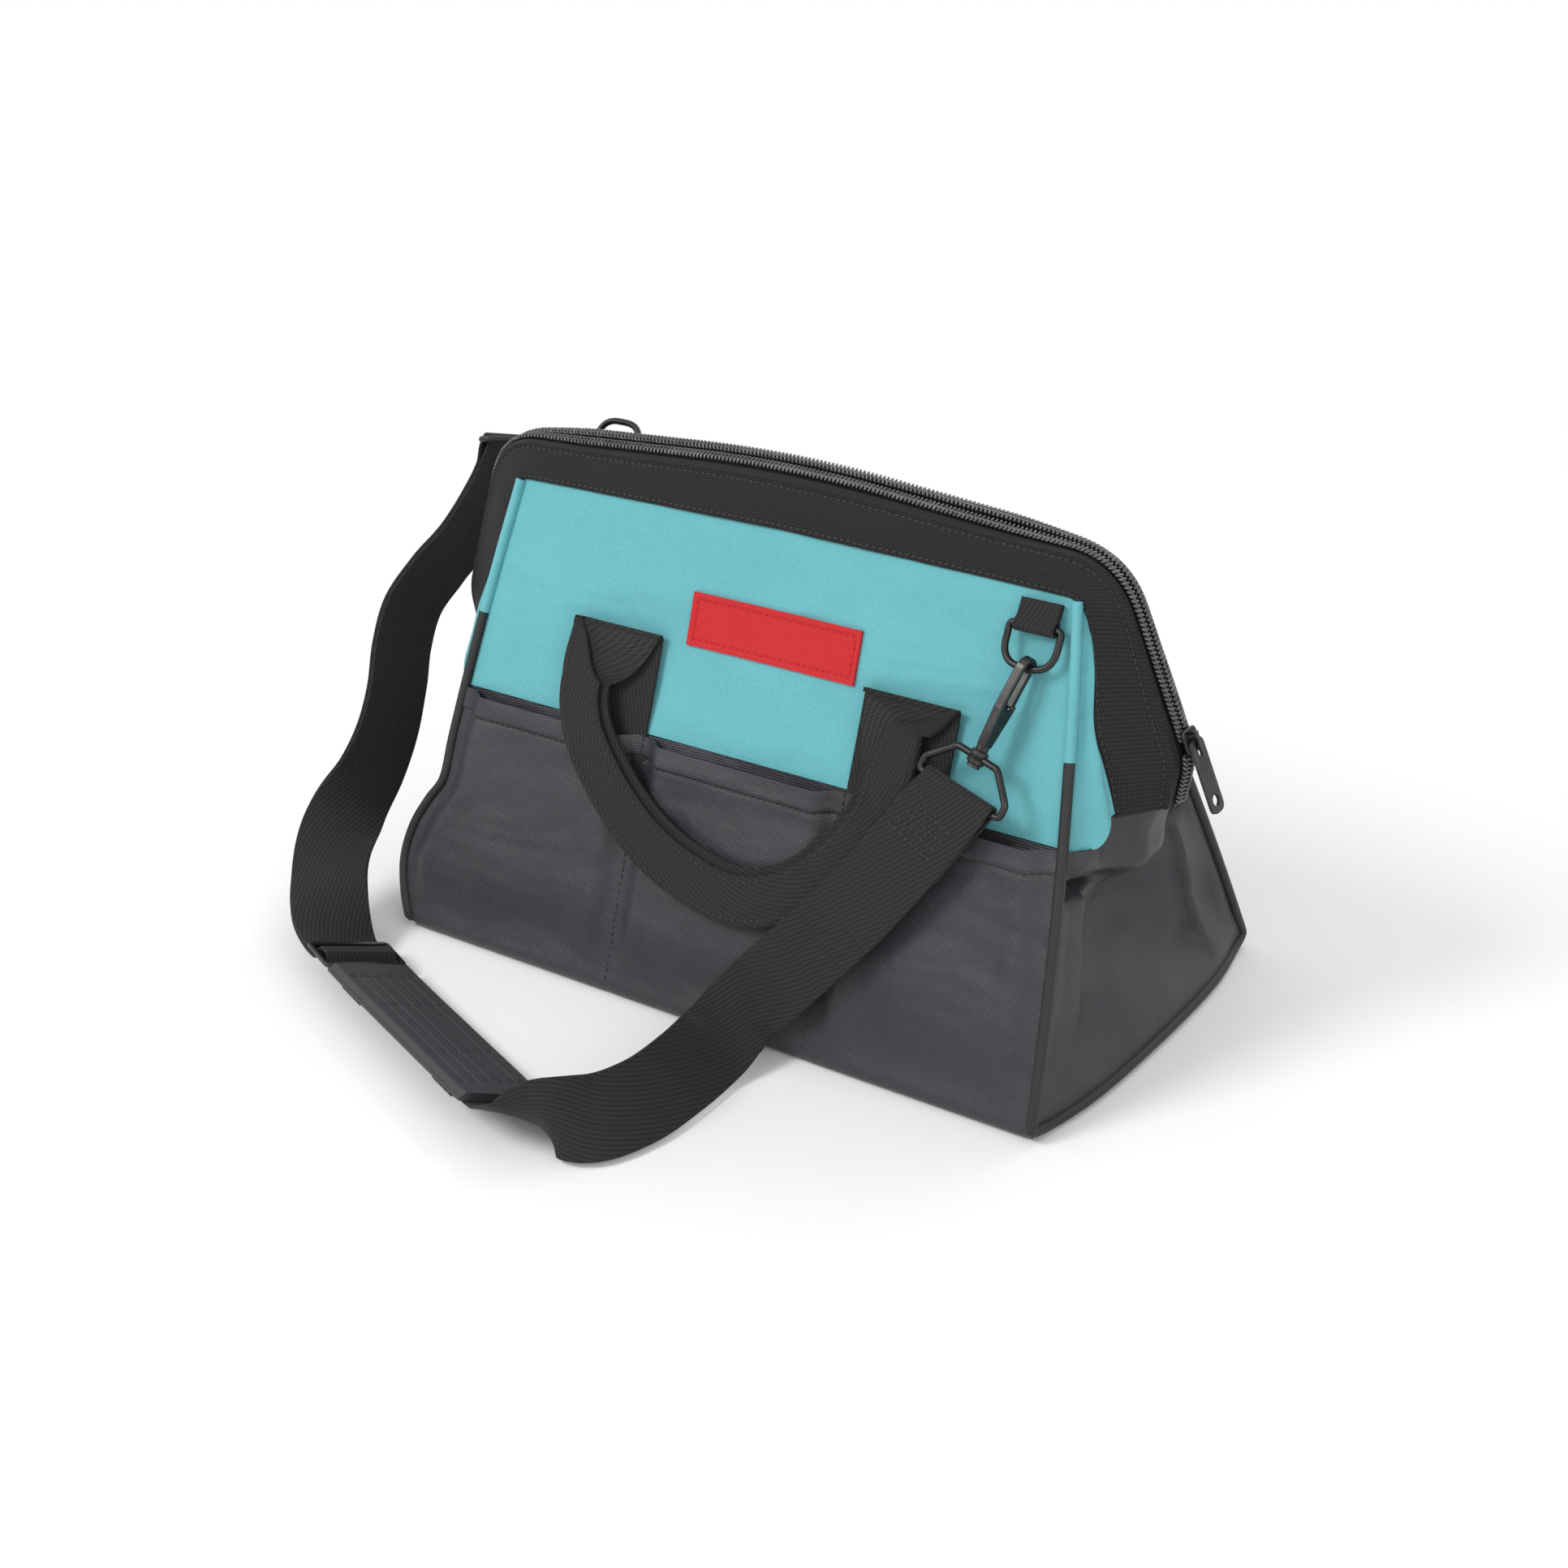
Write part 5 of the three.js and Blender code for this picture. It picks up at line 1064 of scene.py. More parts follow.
def make_piping(end, end_name, side, side_name):
    """Black piping up to the canvas's lower part, then the canvas's own folded edge up to the band."""
    run = at_shares(piping_run(end, side), np.linspace(0, 1, 240))
    cut = int(np.argmax(run[:, 2] < PIPING_TOP))
    for piece, part, radius, cloth, finish in (
            ("piping_cord", run[cut:], PIPING_RADIUS, "Piping cover cloth", "piping"),
            ("canvas_fold", run[:cut + 2], PIPING_RADIUS - 0.1, "Teal oxford canvas", "canvas")):
        obj = tube(f"{side_name}_{end_name}_{piece}", part, radius, cloth, 12)
        settle(obj, blend=canvas_blend(side), replaces=[f"{end_name}_piping"])


def make_bottom():
    depth = BASE_DEPTH / 2 - ROLL_REACH
    reach = BASE_LENGTH / 2 - PIPING_RADIUS * 2 - 1
    y, share = np.meshgrid(np.linspace(-depth, depth, 41), np.linspace(-1, 1, 41), indexing="ij")
    x = share * (reach + 3 * (1 - (y / depth) ** 2))
    low = np.stack([x, y, np.zeros_like(x)], axis=2)
    obj = slab("bottom_cloth", low, low + (0, 0, CLOTH), "Coated honeycomb cloth")
    settle(obj, "bag", replaces=["bottom_panel"])


# Mouth pieces

RIDGE_PART = 0.42
RIDGE_HEIGHT = 1.0
BAND_SEAM_PART = 0.53
BAND_HEM_PART = 0.96


def band_lift(grid, parts, side):
    """Rolled ridge beside the zip, a stitched valley below it and small slack waves."""
    part = np.broadcast_to(np.asarray(parts)[None], grid.shape[:2])
    ridge = RIDGE_HEIGHT * np.exp(-((part - RIDGE_PART) / 0.05) ** 2)
    valley = -0.45 * np.exp(-((part - BAND_SEAM_PART) / 0.03) ** 2)
    edge = -0.35 * np.exp(-((part - 1) / 0.03) ** 2)
    slack = rough(grid, *BAND_SLACK, 83 + side) * ease(part, 0.5, 0.65)
    return ridge + valley + edge + slack


def make_band(side, name):
    parts = np.linspace(0.3, 1, 40)
    grid = mouth_grid(parts, side)
    outer = leant(moved_out(grid, band_lift(grid, parts, side), MOUTH_INSIDE))
    inner = leant(moved_out(grid, np.full(grid.shape[:2], -WEB), MOUTH_INSIDE))
    obj = slab(f"{name}_band_binding", outer, inner, "Black ribbed binding")
    settle(obj, mouth_of(side), replaces=[f"{name}_band"])
    rows = [int(np.argmin(np.abs(parts - part))) for part in (BAND_SEAM_PART, BAND_HEM_PART)]
    runs = [outer[:, k] + unit(outer[:, k] - inner[:, k]) * 0.15 for k in rows]
    stitches = stitched(f"{name}_band_stitches", runs)
    settle(stitches, mouth_of(side))


def make_tape(side, name):
    grid = mouth_grid(np.linspace(0.11, 0.34, 9), side)
    outer = leant(moved_out(grid, np.full(grid.shape[:2], -TAPE_DROP), MOUTH_INSIDE))
    obj = cloth_piece(f"{name}_tape_cloth", outer, TAPE, MOUTH_INSIDE, "Zip tape herringbone")
    settle(obj, mouth_of(side), replaces=[f"{name}_zip_tape"])


def coil_line(side, height):
    """The chain's own line, at a height off the zip line and half the coil's width from the middle."""
    ahead = unit(np.gradient(ZIP_POINTS, axis=0))
    inwards = unit(np.cross((0, 1, 0), ahead))
    line = ZIP_POINTS - inwards * height
    line[:, 1] = side * (GAP / 2 + COIL_HALF_WIDTH / 2)
    return line, inwards


def neck_clear(points):
    """Which points of the chain lie clear of the slider's neck."""
    place = SLIDER_AT - SLIDER_UP * SLIDER_NECK_OFFSET
    return np.abs((points - place) @ SLIDER_UP) > SLIDER_NECK_LENGTH / 2 + 2 * GAP


def split_runs(points, keep):
    cuts = np.flatnonzero(np.diff(keep.astype(int))) + 1
    pieces = np.split(np.arange(len(points)), cuts)
    return [points[piece] for piece in pieces if keep[piece[0]] and len(piece) > 2]


COIL_LIFT = 0.4
COIL_CORE_RADIUS = 0.75
POINTS_PER_TURN = 12


def make_coil(side, name):
    sizes = bpy.context.scene.tool_bag_sizes
    pitch, wire = sizes.coil_pitch / MM, sizes.coil_wire / MM / 2
    low = -TAPE_DROP + GAP
    line, inwards = coil_line(side, low + COIL_THICKNESS / 2 + COIL_LIFT)
    turns = lengths_along(line)[-1] / pitch
    shares = np.linspace(0, 1, int(turns * POINTS_PER_TURN))
    centre, up = at_shares(line, shares), unit(at_shares(-inwards, shares))
    angle = shares * turns * 2 * math.pi + (0 if side == FRONT else math.pi)
    out = np.array([0, side, 0]) * (COIL_HALF_WIDTH / 2 - wire - GAP / 4)
    helix = centre + np.cos(angle)[:, None] * out + np.sin(angle)[:, None] * up * (COIL_THICKNESS / 2 - wire)
    tree = bpy.data.node_groups.get("Filament along a path") or filament_tree()
    path = path_object(f"{name}_coil_filament", split_runs(leant(helix), neck_clear(centre)))
    coil = through_tree(path, tree, {"Radius": wire * MM}, "Dark zip coil nylon")
    cores = split_runs(leant(centre), neck_clear(centre))
    parts = [tube(f"core_{i}", run[::6], COIL_CORE_RADIUS, "Dark zip coil nylon", 8)
             for i, run in enumerate(cores)]
    obj = joined(f"{name}_coil", coil, *parts)
    settle(obj, mouth_of(side), replaces=[f"{name}_zip_coil"])


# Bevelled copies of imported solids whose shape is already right

def bevelled(node, name, material_name, width=0.25, angle=32):
    """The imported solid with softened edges, as a piece of its own."""
    source = bpy.data.objects[node]
    mesh = source.data.copy()
    mesh.transform(source.matrix_world)
    obj = new_object(name, mesh)
    edge = obj.modifiers.new("Edge", "BEVEL")
    edge.width = width * MM
    edge.segments = 2
    edge.limit_method = "ANGLE"
    edge.angle_limit = math.radians(angle)
    evaluated = obj.evaluated_get(bpy.context.evaluated_depsgraph_get())
    final = bpy.data.meshes.new_from_object(evaluated)
    obj.modifiers.clear()
    obj.data = final
    return finish_mesh(obj, material_name, 42)


def make_slider():
    slider = bevelled("slider", "slider_body", "Gunmetal coated hardware", 0.22)
    settle(slider, "slider", replaces=["slider"])
    tab = bevelled("pull_tab", "pull_tab_plate", "Gunmetal coated hardware", 0.3)
    settle(tab, "pull_tab", replaces=["pull_tab"])


# Handles

FOLD_TURN = 1.05
GRIP_SHARE = 27 / HANDLE_WIDTH
GRIP_ROUTE = (
    (-80, 160, 3.2, 1), (-84, 151, 5.2, 0.86), (-90, 135, 7.6, GRIP_SHARE),
    *((x, z, GRIP_OVER_POCKET, GRIP_SHARE) for x, z in (
        (-84, 117), (-65, 95), (-38, 76), (-10, 66), (16, 63), (42, 71), (64, 89), (79, 111))),
    (81, 130, 7.8, GRIP_SHARE), (78, 149, 5, 0.66), (83, 160, 3.2, 1),
)


def make_handle_root(centre, side, name):
    lift = WEB / 2 + GAP
    heights = np.linspace(96, HANDLE_FOLD_HEIGHT - 1.6, 34)
    straight = on_wall(centre, heights, lift, side)
    top = straight[-1]
    normal = normal_of(side)
    up = -WALL_DOWN if side == FRONT else -WALL_DOWN * (1, -1, 1)
    angles = np.linspace(0, math.pi, 11)[1:]
    out, above = FOLD_TURN * (1 - np.cos(angles)), FOLD_TURN * np.sin(angles)
    turn = top + normal * out[:, None] + up * above[:, None]
    centres = np.vstack([straight, turn])
    facing = np.vstack([np.repeat(normal[None], len(straight), axis=0),
                        normal * np.cos(angles)[:, None] + up * np.sin(angles)[:, None]])
    across = np.repeat([[1.0, 0, 0]], len(centres), axis=0)
    obj = ribbon(f"{name}_webbing", centres, across, facing, HANDLE_WIDTH, WEB, "Black strap webbing")
    side_name = "front" if side == FRONT else "back"
    start, end = (0, 0, POCKET_TOP), (0, 0, 150)
    settle(obj, blend=("bag", f"{side_name}_handle_mount", start, end), replaces=[name])


def folded_section(width, flap, lift):
    """Outline of webbing folded on itself: a lower layer, a turn at one edge and a flap on top."""
    half = WEB / 2
    low = [(a, -lift) for a in np.linspace(-width / 2, width / 2 - lift, 12)]
    angles = np.linspace(-math.pi / 2, math.pi / 2, 9)[1:-1]
    turn = [(width / 2 - lift + lift * math.cos(t), lift * math.sin(t)) for t in angles]
    high = [(a, lift) for a in np.linspace(width / 2 - lift, width / 2 - flap, 10)]
    line = np.array(low + turn + high)
    ahead = unit(np.gradient(line, axis=0))
    square = np.stack([ahead[:, 1], -ahead[:, 0]], axis=1)
    return np.vstack([line + square * half, (line - square * half)[::-1]])


def grip_frames(side, count=150):
    route = np.array(GRIP_ROUTE, float)
    normal = normal_of(side)
    points = on_wall(route[:, 0], route[:, 1], route[:, 2], side)
    steps = 16
    run = smooth_run(points, steps)
    shares = np.interp(np.arange(len(run)) / steps, np.arange(len(route)), route[:, 3])
    t = np.linspace(0, 1, count)
    place, rows = t * (len(run) - 1), np.arange(len(run))
    centre, tangent = (
        np.stack([np.interp(place, rows, values[:, k]) for k in range(3)], axis=-1)
        for values in (run, np.gradient(run, axis=0)))
    along = unit(np.cross(unit(tangent), normal))
    turn = 1 if side == FRONT else -1
    level = np.where(t[:, None] < 0.5, -turn, turn) * np.array([1.0, 0, 0])
    from_end = np.minimum(t, 1 - t)
    across = unit(mix(level, along, ease(from_end, 0, 0.08)[:, None]))
    return centre, across, normal, np.interp(place, rows, shares), from_end


def make_grip(side, name):
    centre, across, normal, shares, from_end = grip_frames(side)
    rings, edges = [], []
    for point, aside, share, distance in zip(centre, across, shares, from_end):
        width = HANDLE_WIDTH * share
        flap = max(HANDLE_WIDTH - width, 4)
        lift = mix(0.8, 1.3, float(ease(flap, 4, 16)))
        section = folded_section(width, flap, lift)
        rise = mix(0, 0.6, float(ease(distance, 0, 0.1)))
        rings.append(point + section[:, :1] * aside + (section[:, 1:] + rise) * normal)
        top = lift + rise + WEB / 2 + 0.1
        edges.append([point + aside * a + normal * top for a in (width / 2 - flap + 2.5, width / 2 - 3)])
    obj = loft(f"{name}_handle_webbing", rings, "Black strap webbing")
    settle(obj, f"{name}_handle", replaces=[f"{name}_handle_grip"])
    edges = np.array(edges)[18:-18]
    stitches = stitched(f"{name}_handle_stitches", [edges[:, 0], edges[:, 1]])
    settle(stitches, f"{name}_handle")


# Patch

def make_patch():
    half, tall = PATCH_SIZE[0] / 2, PATCH_SIZE[1] / 2
    z, x = np.meshgrid(np.linspace(-tall, tall, 41), np.linspace(-half, half, 121), indexing="ij")
    place = np.stack([x + PATCH_MIDDLE[0], -outer_wall(z + PATCH_MIDDLE[1]), z + PATCH_MIDDLE[1]], axis=2)
    sink = canvas_hollows(place, FRONT)
    from_edge = np.minimum(half - np.abs(x), tall - np.abs(z))
    border = 0.4 * (1 - ease(from_edge, 1.9, 2.6)) - 0.15 * np.exp(-((from_edge - 2.8) / 0.5) ** 2)
    outer = on_wall(place[..., 0], place[..., 2], GAP + PATCH_THICKNESS + sink + border, FRONT)
    inner = on_wall(place[..., 0], place[..., 2], GAP / 2 + sink, FRONT)
    obj = slab("patch_cloth", outer, inner, "Red satin-stitched patch")
    settle(obj, blend=canvas_blend(FRONT), replaces=["patch"])


# Strap hardware and loops

def ring_loop(hanger, name):
    turn, layer = WIRE_RADIUS + GAP + WEB / 2, (WEB + GAP) / 2
    angles = np.linspace(0, math.pi, 15)
    rows = [(-layer, along, -1.0, 0.0) for along in np.linspace(LOOP_LENGTH, 3.5, 6)]
    rows += [(-turn * math.cos(a), -turn * math.sin(a), -math.cos(a), -math.sin(a)) for a in angles]
    rows += [(layer, along, 1.0, 0.0) for along in np.linspace(3.5, LOOP_LENGTH, 6)]
    rows = np.array(rows)
    zero = np.zeros(len(rows))
    centres = hanger.points(np.stack([zero, rows[:, 0], rows[:, 1]], axis=1))
    facing = unit(hanger.points(np.stack([zero, rows[:, 2], rows[:, 3]], axis=1)) - hanger.centre)
    across = np.repeat(hanger.sideways[None], len(rows), axis=0)
    obj = ribbon(f"{name}_loop_webbing", centres, across, facing, LOOP_WIDTH, WEB, "Black strap webbing")
    settle(obj, f"{name}_ring_loop", replaces=[f"{name}_ring_loop"])


def d_ring(hanger, name):
    half, drop = RING_BAR_HALF, D_RING_HEIGHT
    corners = [(-half, 0, 0), (half, 0, 0), (half, 0, -drop), (-half, 0, -drop)]
    radii = [BAR_CORNER, BAR_CORNER, D_RING_CORNER, D_RING_CORNER]
    run = hanger.points(rounded_run(corners, radii, closed=True))
    obj = tube(f"{name}_d_ring_wire", run, WIRE_RADIUS, "Gunmetal coated hardware", closed=True)
    settle(obj, f"{name}_d_ring", replaces=[f"{name}_d_ring"])


def swivel_ring(hanger, name):
    bar_half, bar_z = STRAP_WIDTH / 2 + 2 + WIRE_RADIUS, BARREL_MIDDLE - STRAP_BAR_DROP
    half = [(bar_half, 0, bar_z), (bar_half, 0, bar_z + 6), (11, 0, BARREL_MIDDLE)]
    mirrored = [(-x, y, z) for x, y, z in reversed(half)]
    radii = [BAR_CORNER, 4, 4, 4, 4, BAR_CORNER]
    run = hanger.points(rounded_run(half + mirrored, radii, closed=True))
    wire = tube("wire", run, WIRE_RADIUS, "Gunmetal coated hardware", closed=True)
    r, h = BARREL_RADIUS, BARREL_LENGTH / 2
    profile = [(2, -h), (r - 0.5, -h), (r, -h + 0.5), (r, -0.9), (r - 0.3, -0.6), (r - 0.3, 0.6), (r, 0.9),
               (r, h - 0.5), (r - 0.5, h), (2, h)]
    rings = []
    for angle in np.linspace(0, 2 * math.pi, 28, endpoint=False):
        ring = [(a * math.cos(angle), a * math.sin(angle), BARREL_MIDDLE + z) for a, z in profile]
        rings.append(hanger.points(np.array(ring)))
    barrel = loft("barrel", rings, "Gunmetal coated hardware", closed=True)
    obj = joined(f"{name}_swivel_ring_wire", wire, barrel)
    settle(obj, f"{name}_swivel_ring", replaces=[f"{name}_swivel_ring"])


def make_hanger(name, loop, hanger, swivel):
    ring_loop(loop, name)
    d_ring(hanger, name)
    swivel_ring(swivel, name)
    for node, width in ((f"{name}_snap_hook", 0.35), (f"{name}_hook_gate", 0.25)):
        obj = bevelled(node, f"{node}_casting", "Gunmetal coated hardware", width)
        settle(obj, node, replaces=[node])


# Strap

STRAP_ROW_PITCH = 2.2
ZIGZAG_TURNS = 9
ZIGZAG_STRETCH = 12, 32
ZIGZAG_HALF_SHARE = 0.36


def turn_settle(distances):
    """Distance between the strap's two layers, closing up behind the bar that it turns round."""
    return mix(2 * BAR_TURN, LAYER_PITCH, ease(distances, 1, 18))


def evenly(start, end):
    return np.linspace(start, end, max(3, int(abs(end - start) / STRAP_ROW_PITCH)))


SLOT_REACH = GLIDE_MIDDLE_BAR / 2 + 0.5, GLIDE_MIDDLE_BAR / 2 + GLIDE_SLOT - GAP


def glide_rise(offsets):
    """How far the strap rises over the tri-glide's middle bar."""
    return 2 * GLIDE_LIFT * (1 - ease(np.abs(offsets), *SLOT_REACH))


def glide_tail(offsets):
    """How far the doubled layer drops below the strap behind the middle bar."""
    return LAYER_PITCH * ease(offsets, *SLOT_REACH)


def strap_ribbon(name, *parts):
    """One webbing ribbon through stations given as centres, across directions and normals."""
    centres, across, normals = (np.vstack([part[k] for part in parts]) for k in range(3))
    return ribbon(name, centres, across, normals, STRAP_WIDTH, STRAP_THICKNESS, "Black strap webbing")


def flipped(layer):
    return layer[0], layer[1], -layer[2]


BLEND_STEP = 15
BLEND_LINKS = ("snap_hook", "d_ring", "ring_loop", "mouth")
BLEND_COUNT = len(BLEND_LINKS) + 1
STRAP_END_REACH = STRAP_FOLD_BACK + BLEND_COUNT * BLEND_STEP


def strap_main(start, end):
    d = evenly(start, end)
    return strap_layer(d, np.zeros_like(d))


def strap_double(start, end):
    d = evenly(start, end)
    return strap_layer(d, turn_settle(STRAP_LENGTH - d))


def blended_strap(obj, name, k, far, near):
    """Settles a piece of strap that runs between two bodies: its transform is baked where it lies and the
    imported strap is hidden.
    """
    bodies = [f"{name}_swivel_ring"] + [f"{name}_{link}" for link in BLEND_LINKS] + ["bag"]
    start, end = strap_at([far])[0][0], strap_at([near])[0][0]
    settle(obj, blend=(bodies[k + 1], bodies[k], start, end), replaces=["shoulder_strap"])


def make_front_strap_end():
    d = evenly(STRAP_FOLD_BACK, 0)
    sewn = flipped(strap_layer(d, -turn_settle(d)))
    turn = round_bar(FRONT_STRAP_BAR, 0, -strap_at([0])[2][0])
    main = strap_main(0, STRAP_FOLD_BACK)
    obj = strap_ribbon("front_strap_end", sewn, turn, main)
    settle(obj, "front_swivel_ring", replaces=["shoulder_strap"])
    centre, across, _, normal = strap_at(np.linspace(*ZIGZAG_STRETCH, ZIGZAG_TURNS))
    to_right = np.arange(ZIGZAG_TURNS) % 2
    aside = STRAP_WIDTH * np.where(to_right, ZIGZAG_HALF_SHARE, -ZIGZAG_HALF_SHARE)[:, None]
    line = centre + across * aside + normal * (STRAP_THICKNESS / 2 + 0.1)
    marks = stitched("front_strap_stitches", [at_shares(line, np.linspace(0, 1, 90))])
    settle(marks, "front_swivel_ring")


def make_back_strap_end():
    start = STRAP_LENGTH - STRAP_FOLD_BACK
    main = strap_main(start, STRAP_LENGTH)
    turn = round_bar(BACK_STRAP_BAR, STRAP_LENGTH, strap_at([STRAP_LENGTH])[2][0])
    doubled = strap_double(STRAP_LENGTH, start)
    obj = strap_ribbon("back_strap_end", main, flipped(turn), flipped(doubled))
    settle(obj, "back_swivel_ring", replaces=["shoulder_strap"])


def make_strap():
    make_front_strap_end()
    make_back_strap_end()
    for k in range(BLEND_COUNT):
        near = STRAP_FOLD_BACK + BLEND_STEP * k
        far = near + BLEND_STEP
        front = strap_ribbon(f"front_strap_part_{k + 1}", strap_main(near, far))
        blended_strap(front, "front", k, far, near)
        far, near = STRAP_LENGTH - far, STRAP_LENGTH - near
        upper = strap_ribbon("upper", strap_main(far, near))
        lower = strap_ribbon("lower", strap_double(far, near))
        back = joined(f"back_strap_part_{k + 1}", upper, lower)
        blended_strap(back, "back", k, far, near)
    last = STRAP_LENGTH - STRAP_END_REACH
    behind = (GLIDE_AT + 14, last, 90)
    d = dense((STRAP_END_REACH, GLIDE_AT - 14, 200), (GLIDE_AT - 13.5, GLIDE_AT + 13.5, 60), behind)
    upper = strap_ribbon("upper", strap_layer(d, -glide_rise(d - GLIDE_AT)))
    d = dense((GLIDE_AT - 2.5, GLIDE_AT + 13.5, 36), behind)
    lower = strap_ribbon("lower", strap_layer(d, glide_tail(d - GLIDE_AT)))
    main = joined("strap_webbing", upper, lower)
    settle(main, "bag", replaces=["shoulder_strap"])


PAD_EDGE_THICKNESS = 1.4
PAD_RIB_PITCH = 6.4
PAD_RIB_DEPTH = 0.45
PAD_BAR_DEPTH = 0.7
PAD_BARS = (14, 45, 94, PAD_LENGTH - 14)


def pad_face(share, along):
    """Height of the pad's top: rounded edges, fine lengthwise ribs and a few pressed cross bars."""
    thickness = mix(PAD_EDGE_THICKNESS, PAD_THICKNESS, ease(1 - np.abs(share), 0, 0.16))
    field = (1 - ease(np.abs(share), 0.7, 0.78)) * ease(along, 9, 12)
    field = field * (1 - ease(along, PAD_LENGTH - 12, PAD_LENGTH - 9))
    from_rib = np.mod(share * PAD_WIDTH / 2 + 100, PAD_RIB_PITCH) - PAD_RIB_PITCH / 2
    ribs = -PAD_RIB_DEPTH * field * np.exp(-(from_rib / 0.5) ** 2)
    bars = sum(np.exp(-((along - place) / 1.3) ** 2) for place in PAD_BARS)
    return thickness + ribs - PAD_BAR_DEPTH * bars * (1 - ease(np.abs(share), 0.72, 0.78))


def make_pad():
    distances = np.linspace(PAD_START, PAD_END, 180)
    shares = np.sin(np.linspace(-math.pi / 2, math.pi / 2, 91))
    shares = 0.35 * shares + 0.65 * np.linspace(-1, 1, 91)
    centre, across, _, normal = strap_at(distances)
    low = STRAP_THICKNESS / 2 + GAP
    base = centre[:, None] + across[:, None] * (shares * PAD_WIDTH / 2)[None, :, None]
    height = pad_face(shares[None], (distances - PAD_START)[:, None])
    outer = base - normal[:, None] * (low + height)[..., None]
    inner = base - normal[:, None] * low
    obj = slab("pad_moulding", outer, inner, "Moulded rubber pad")
    settle(obj, "shoulder_pad", replaces=["shoulder_pad"])


def make_keeper(distance, name):
    centre, across, tangent, normal = (value[0] for value in strap_at([distance]))
    reach = STRAP_WIDTH / 2 + GAP + 0.5
    depth = STRAP_THICKNESS / 2 + GAP + 0.5
    top = -STRAP_THICKNESS / 2 + 0.5
    bend = 0.9
    route = np.array([(-reach, top), (-reach, depth - bend), (-reach + bend, depth), (reach - bend, depth),
                      (reach, depth - bend), (reach, top)])
    facing = np.array([(-1, 0), (-0.92, 0.38), (-0.38, 0.92), (0.38, 0.92), (0.92, 0.38), (1, 0)])
    run, out = (pairs[:, :1] * across + pairs[:, 1:] * normal for pairs in (route, facing))
    along = np.repeat(tangent[None], len(route), axis=0)
    obj = ribbon(f"{name}_webbing", centre + run, along, unit(out), KEEPER_WIDTH, KEEPER_THICKNESS,
                 "Black strap webbing")
    settle(obj, "shoulder_pad", replaces=[name])


def make_pad_group():
    make_pad()
    make_keeper(PAD_START + KEEPER_INSET, "right_pad_keeper")
    make_keeper(PAD_END - KEEPER_INSET, "left_pad_keeper")
    glide = bevelled("tri_glide", "tri_glide_frame", "Gunmetal coated hardware", 0.35)
    settle(glide, "tri_glide", replaces=["tri_glide"])


# Stitch lines on the cloth

def wall_line(x, z, side, out):
    """Points on the outside of the pocket cloth."""
    x, z = np.broadcast_arrays(np.asarray(x, float), np.asarray(z, float))
    grid = np.stack([x, side * (outer_wall(z) - roll_inset(z)), z], axis=-1)[None]
    return pocket_surface(grid, side, out)[0]


def make_stitching():
    sizes = bpy.context.scene.tool_bag_sizes
    options = {"length": sizes.stitch_length / MM, "width": sizes.stitch_width / MM,
               "pitch": sizes.stitch_pitch / MM}
    for side, name in SIDES:
        turn = 1 if side == FRONT else -1
        reach = float(half_length(107, 1)) - 6
        hem = wall_line(np.linspace(-reach, reach, 300), POCKET_TOP - HEM_WIDTH, side, 0.2)
        seams = [wall_line(turn * x, np.linspace(9, POCKET_TOP - 1, 80), side, 0.15) for x in POCKET_SEAMS]
        obj = stitched(f"{name}_pocket_stitches", [hem] + seams, **options)
        settle(obj, "bag")
    half, tall = PATCH_SIZE[0] / 2 - 3, PATCH_SIZE[1] / 2 - 3
    corners = np.array([(-half, -tall), (half, -tall), (half, tall), (-half, tall), (-half, -tall)])
    corners = corners + PATCH_MIDDLE
    line = at_shares(corners, np.linspace(0, 1, 240))
    place = np.stack([line[:, 0], -outer_wall(line[:, 1]), line[:, 1]], axis=1)
    sink = canvas_hollows(place[None], FRONT)[0]
    border = on_wall(line[:, 0], line[:, 1], GAP + PATCH_THICKNESS + sink + 0.1, FRONT)
    obj = stitched("patch_stitches", [border], "Red satin-stitched patch", **options)
    settle(obj, blend=canvas_blend(FRONT))


INNER_FINISH = {
    "bottom_board": "Black pressed board",
    "front_frame": "Gunmetal coated hardware", "back_frame": "Gunmetal coated hardware",
    "right_frame_rivet": "Bare spring steel", "left_frame_rivet": "Bare spring steel",
}


def finish_inner_pieces():
    """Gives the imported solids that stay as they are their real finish."""
    for node, material_name in INNER_FINISH.items():
        mesh = bpy.data.objects[node].data
        if not mesh.materials:
            mesh.materials.append(material(material_name))
        for k in range(len(mesh.materials)):
            mesh.materials[k] = material(material_name)


# Stage

CAMERA_AZIMUTH, CAMERA_ELEVATION, CAMERA_ROLL = 37.76, 27.22, -3.76
CAMERA_DISTANCE = 1249.3
CAMERA_TARGET = (-3.31, -16.03, 89.41)
CAMERA_LENS = 61.36
ROOM_LIGHT = 0.61
FLOOR_HALF = 6.0
FLOOR_LEVEL = -0.0006


def white_world():
    world = bpy.data.worlds.new("Soft white room")
    world.use_nodes = True
    tree = world.node_tree
    tree.nodes.clear()
    rays = tree.nodes.new("ShaderNodeLightPath")
    seen = rays.outputs["Is Camera Ray"]
    for kind in ("Is Glossy Ray", "Is Transmission Ray"):
        seen = add_node(tree, "ShaderNodeMath", {0: seen, 1: rays.outputs[kind]}, operation="MAXIMUM")
    room = add_node(tree, "ShaderNodeBackground", {"Color": linear("FFFFFF"), "Strength": ROOM_LIGHT})
    backdrop = add_node(tree, "ShaderNodeBackground", {"Color": linear("FFFFFF"), "Strength": 1.0})
    shown = add_node(tree, "ShaderNodeMixShader", {0: seen, 1: room, 2: backdrop})
    out = tree.nodes.new("ShaderNodeOutputWorld")
    tree.links.new(shown, out.inputs[0])
    bpy.context.scene.world = world


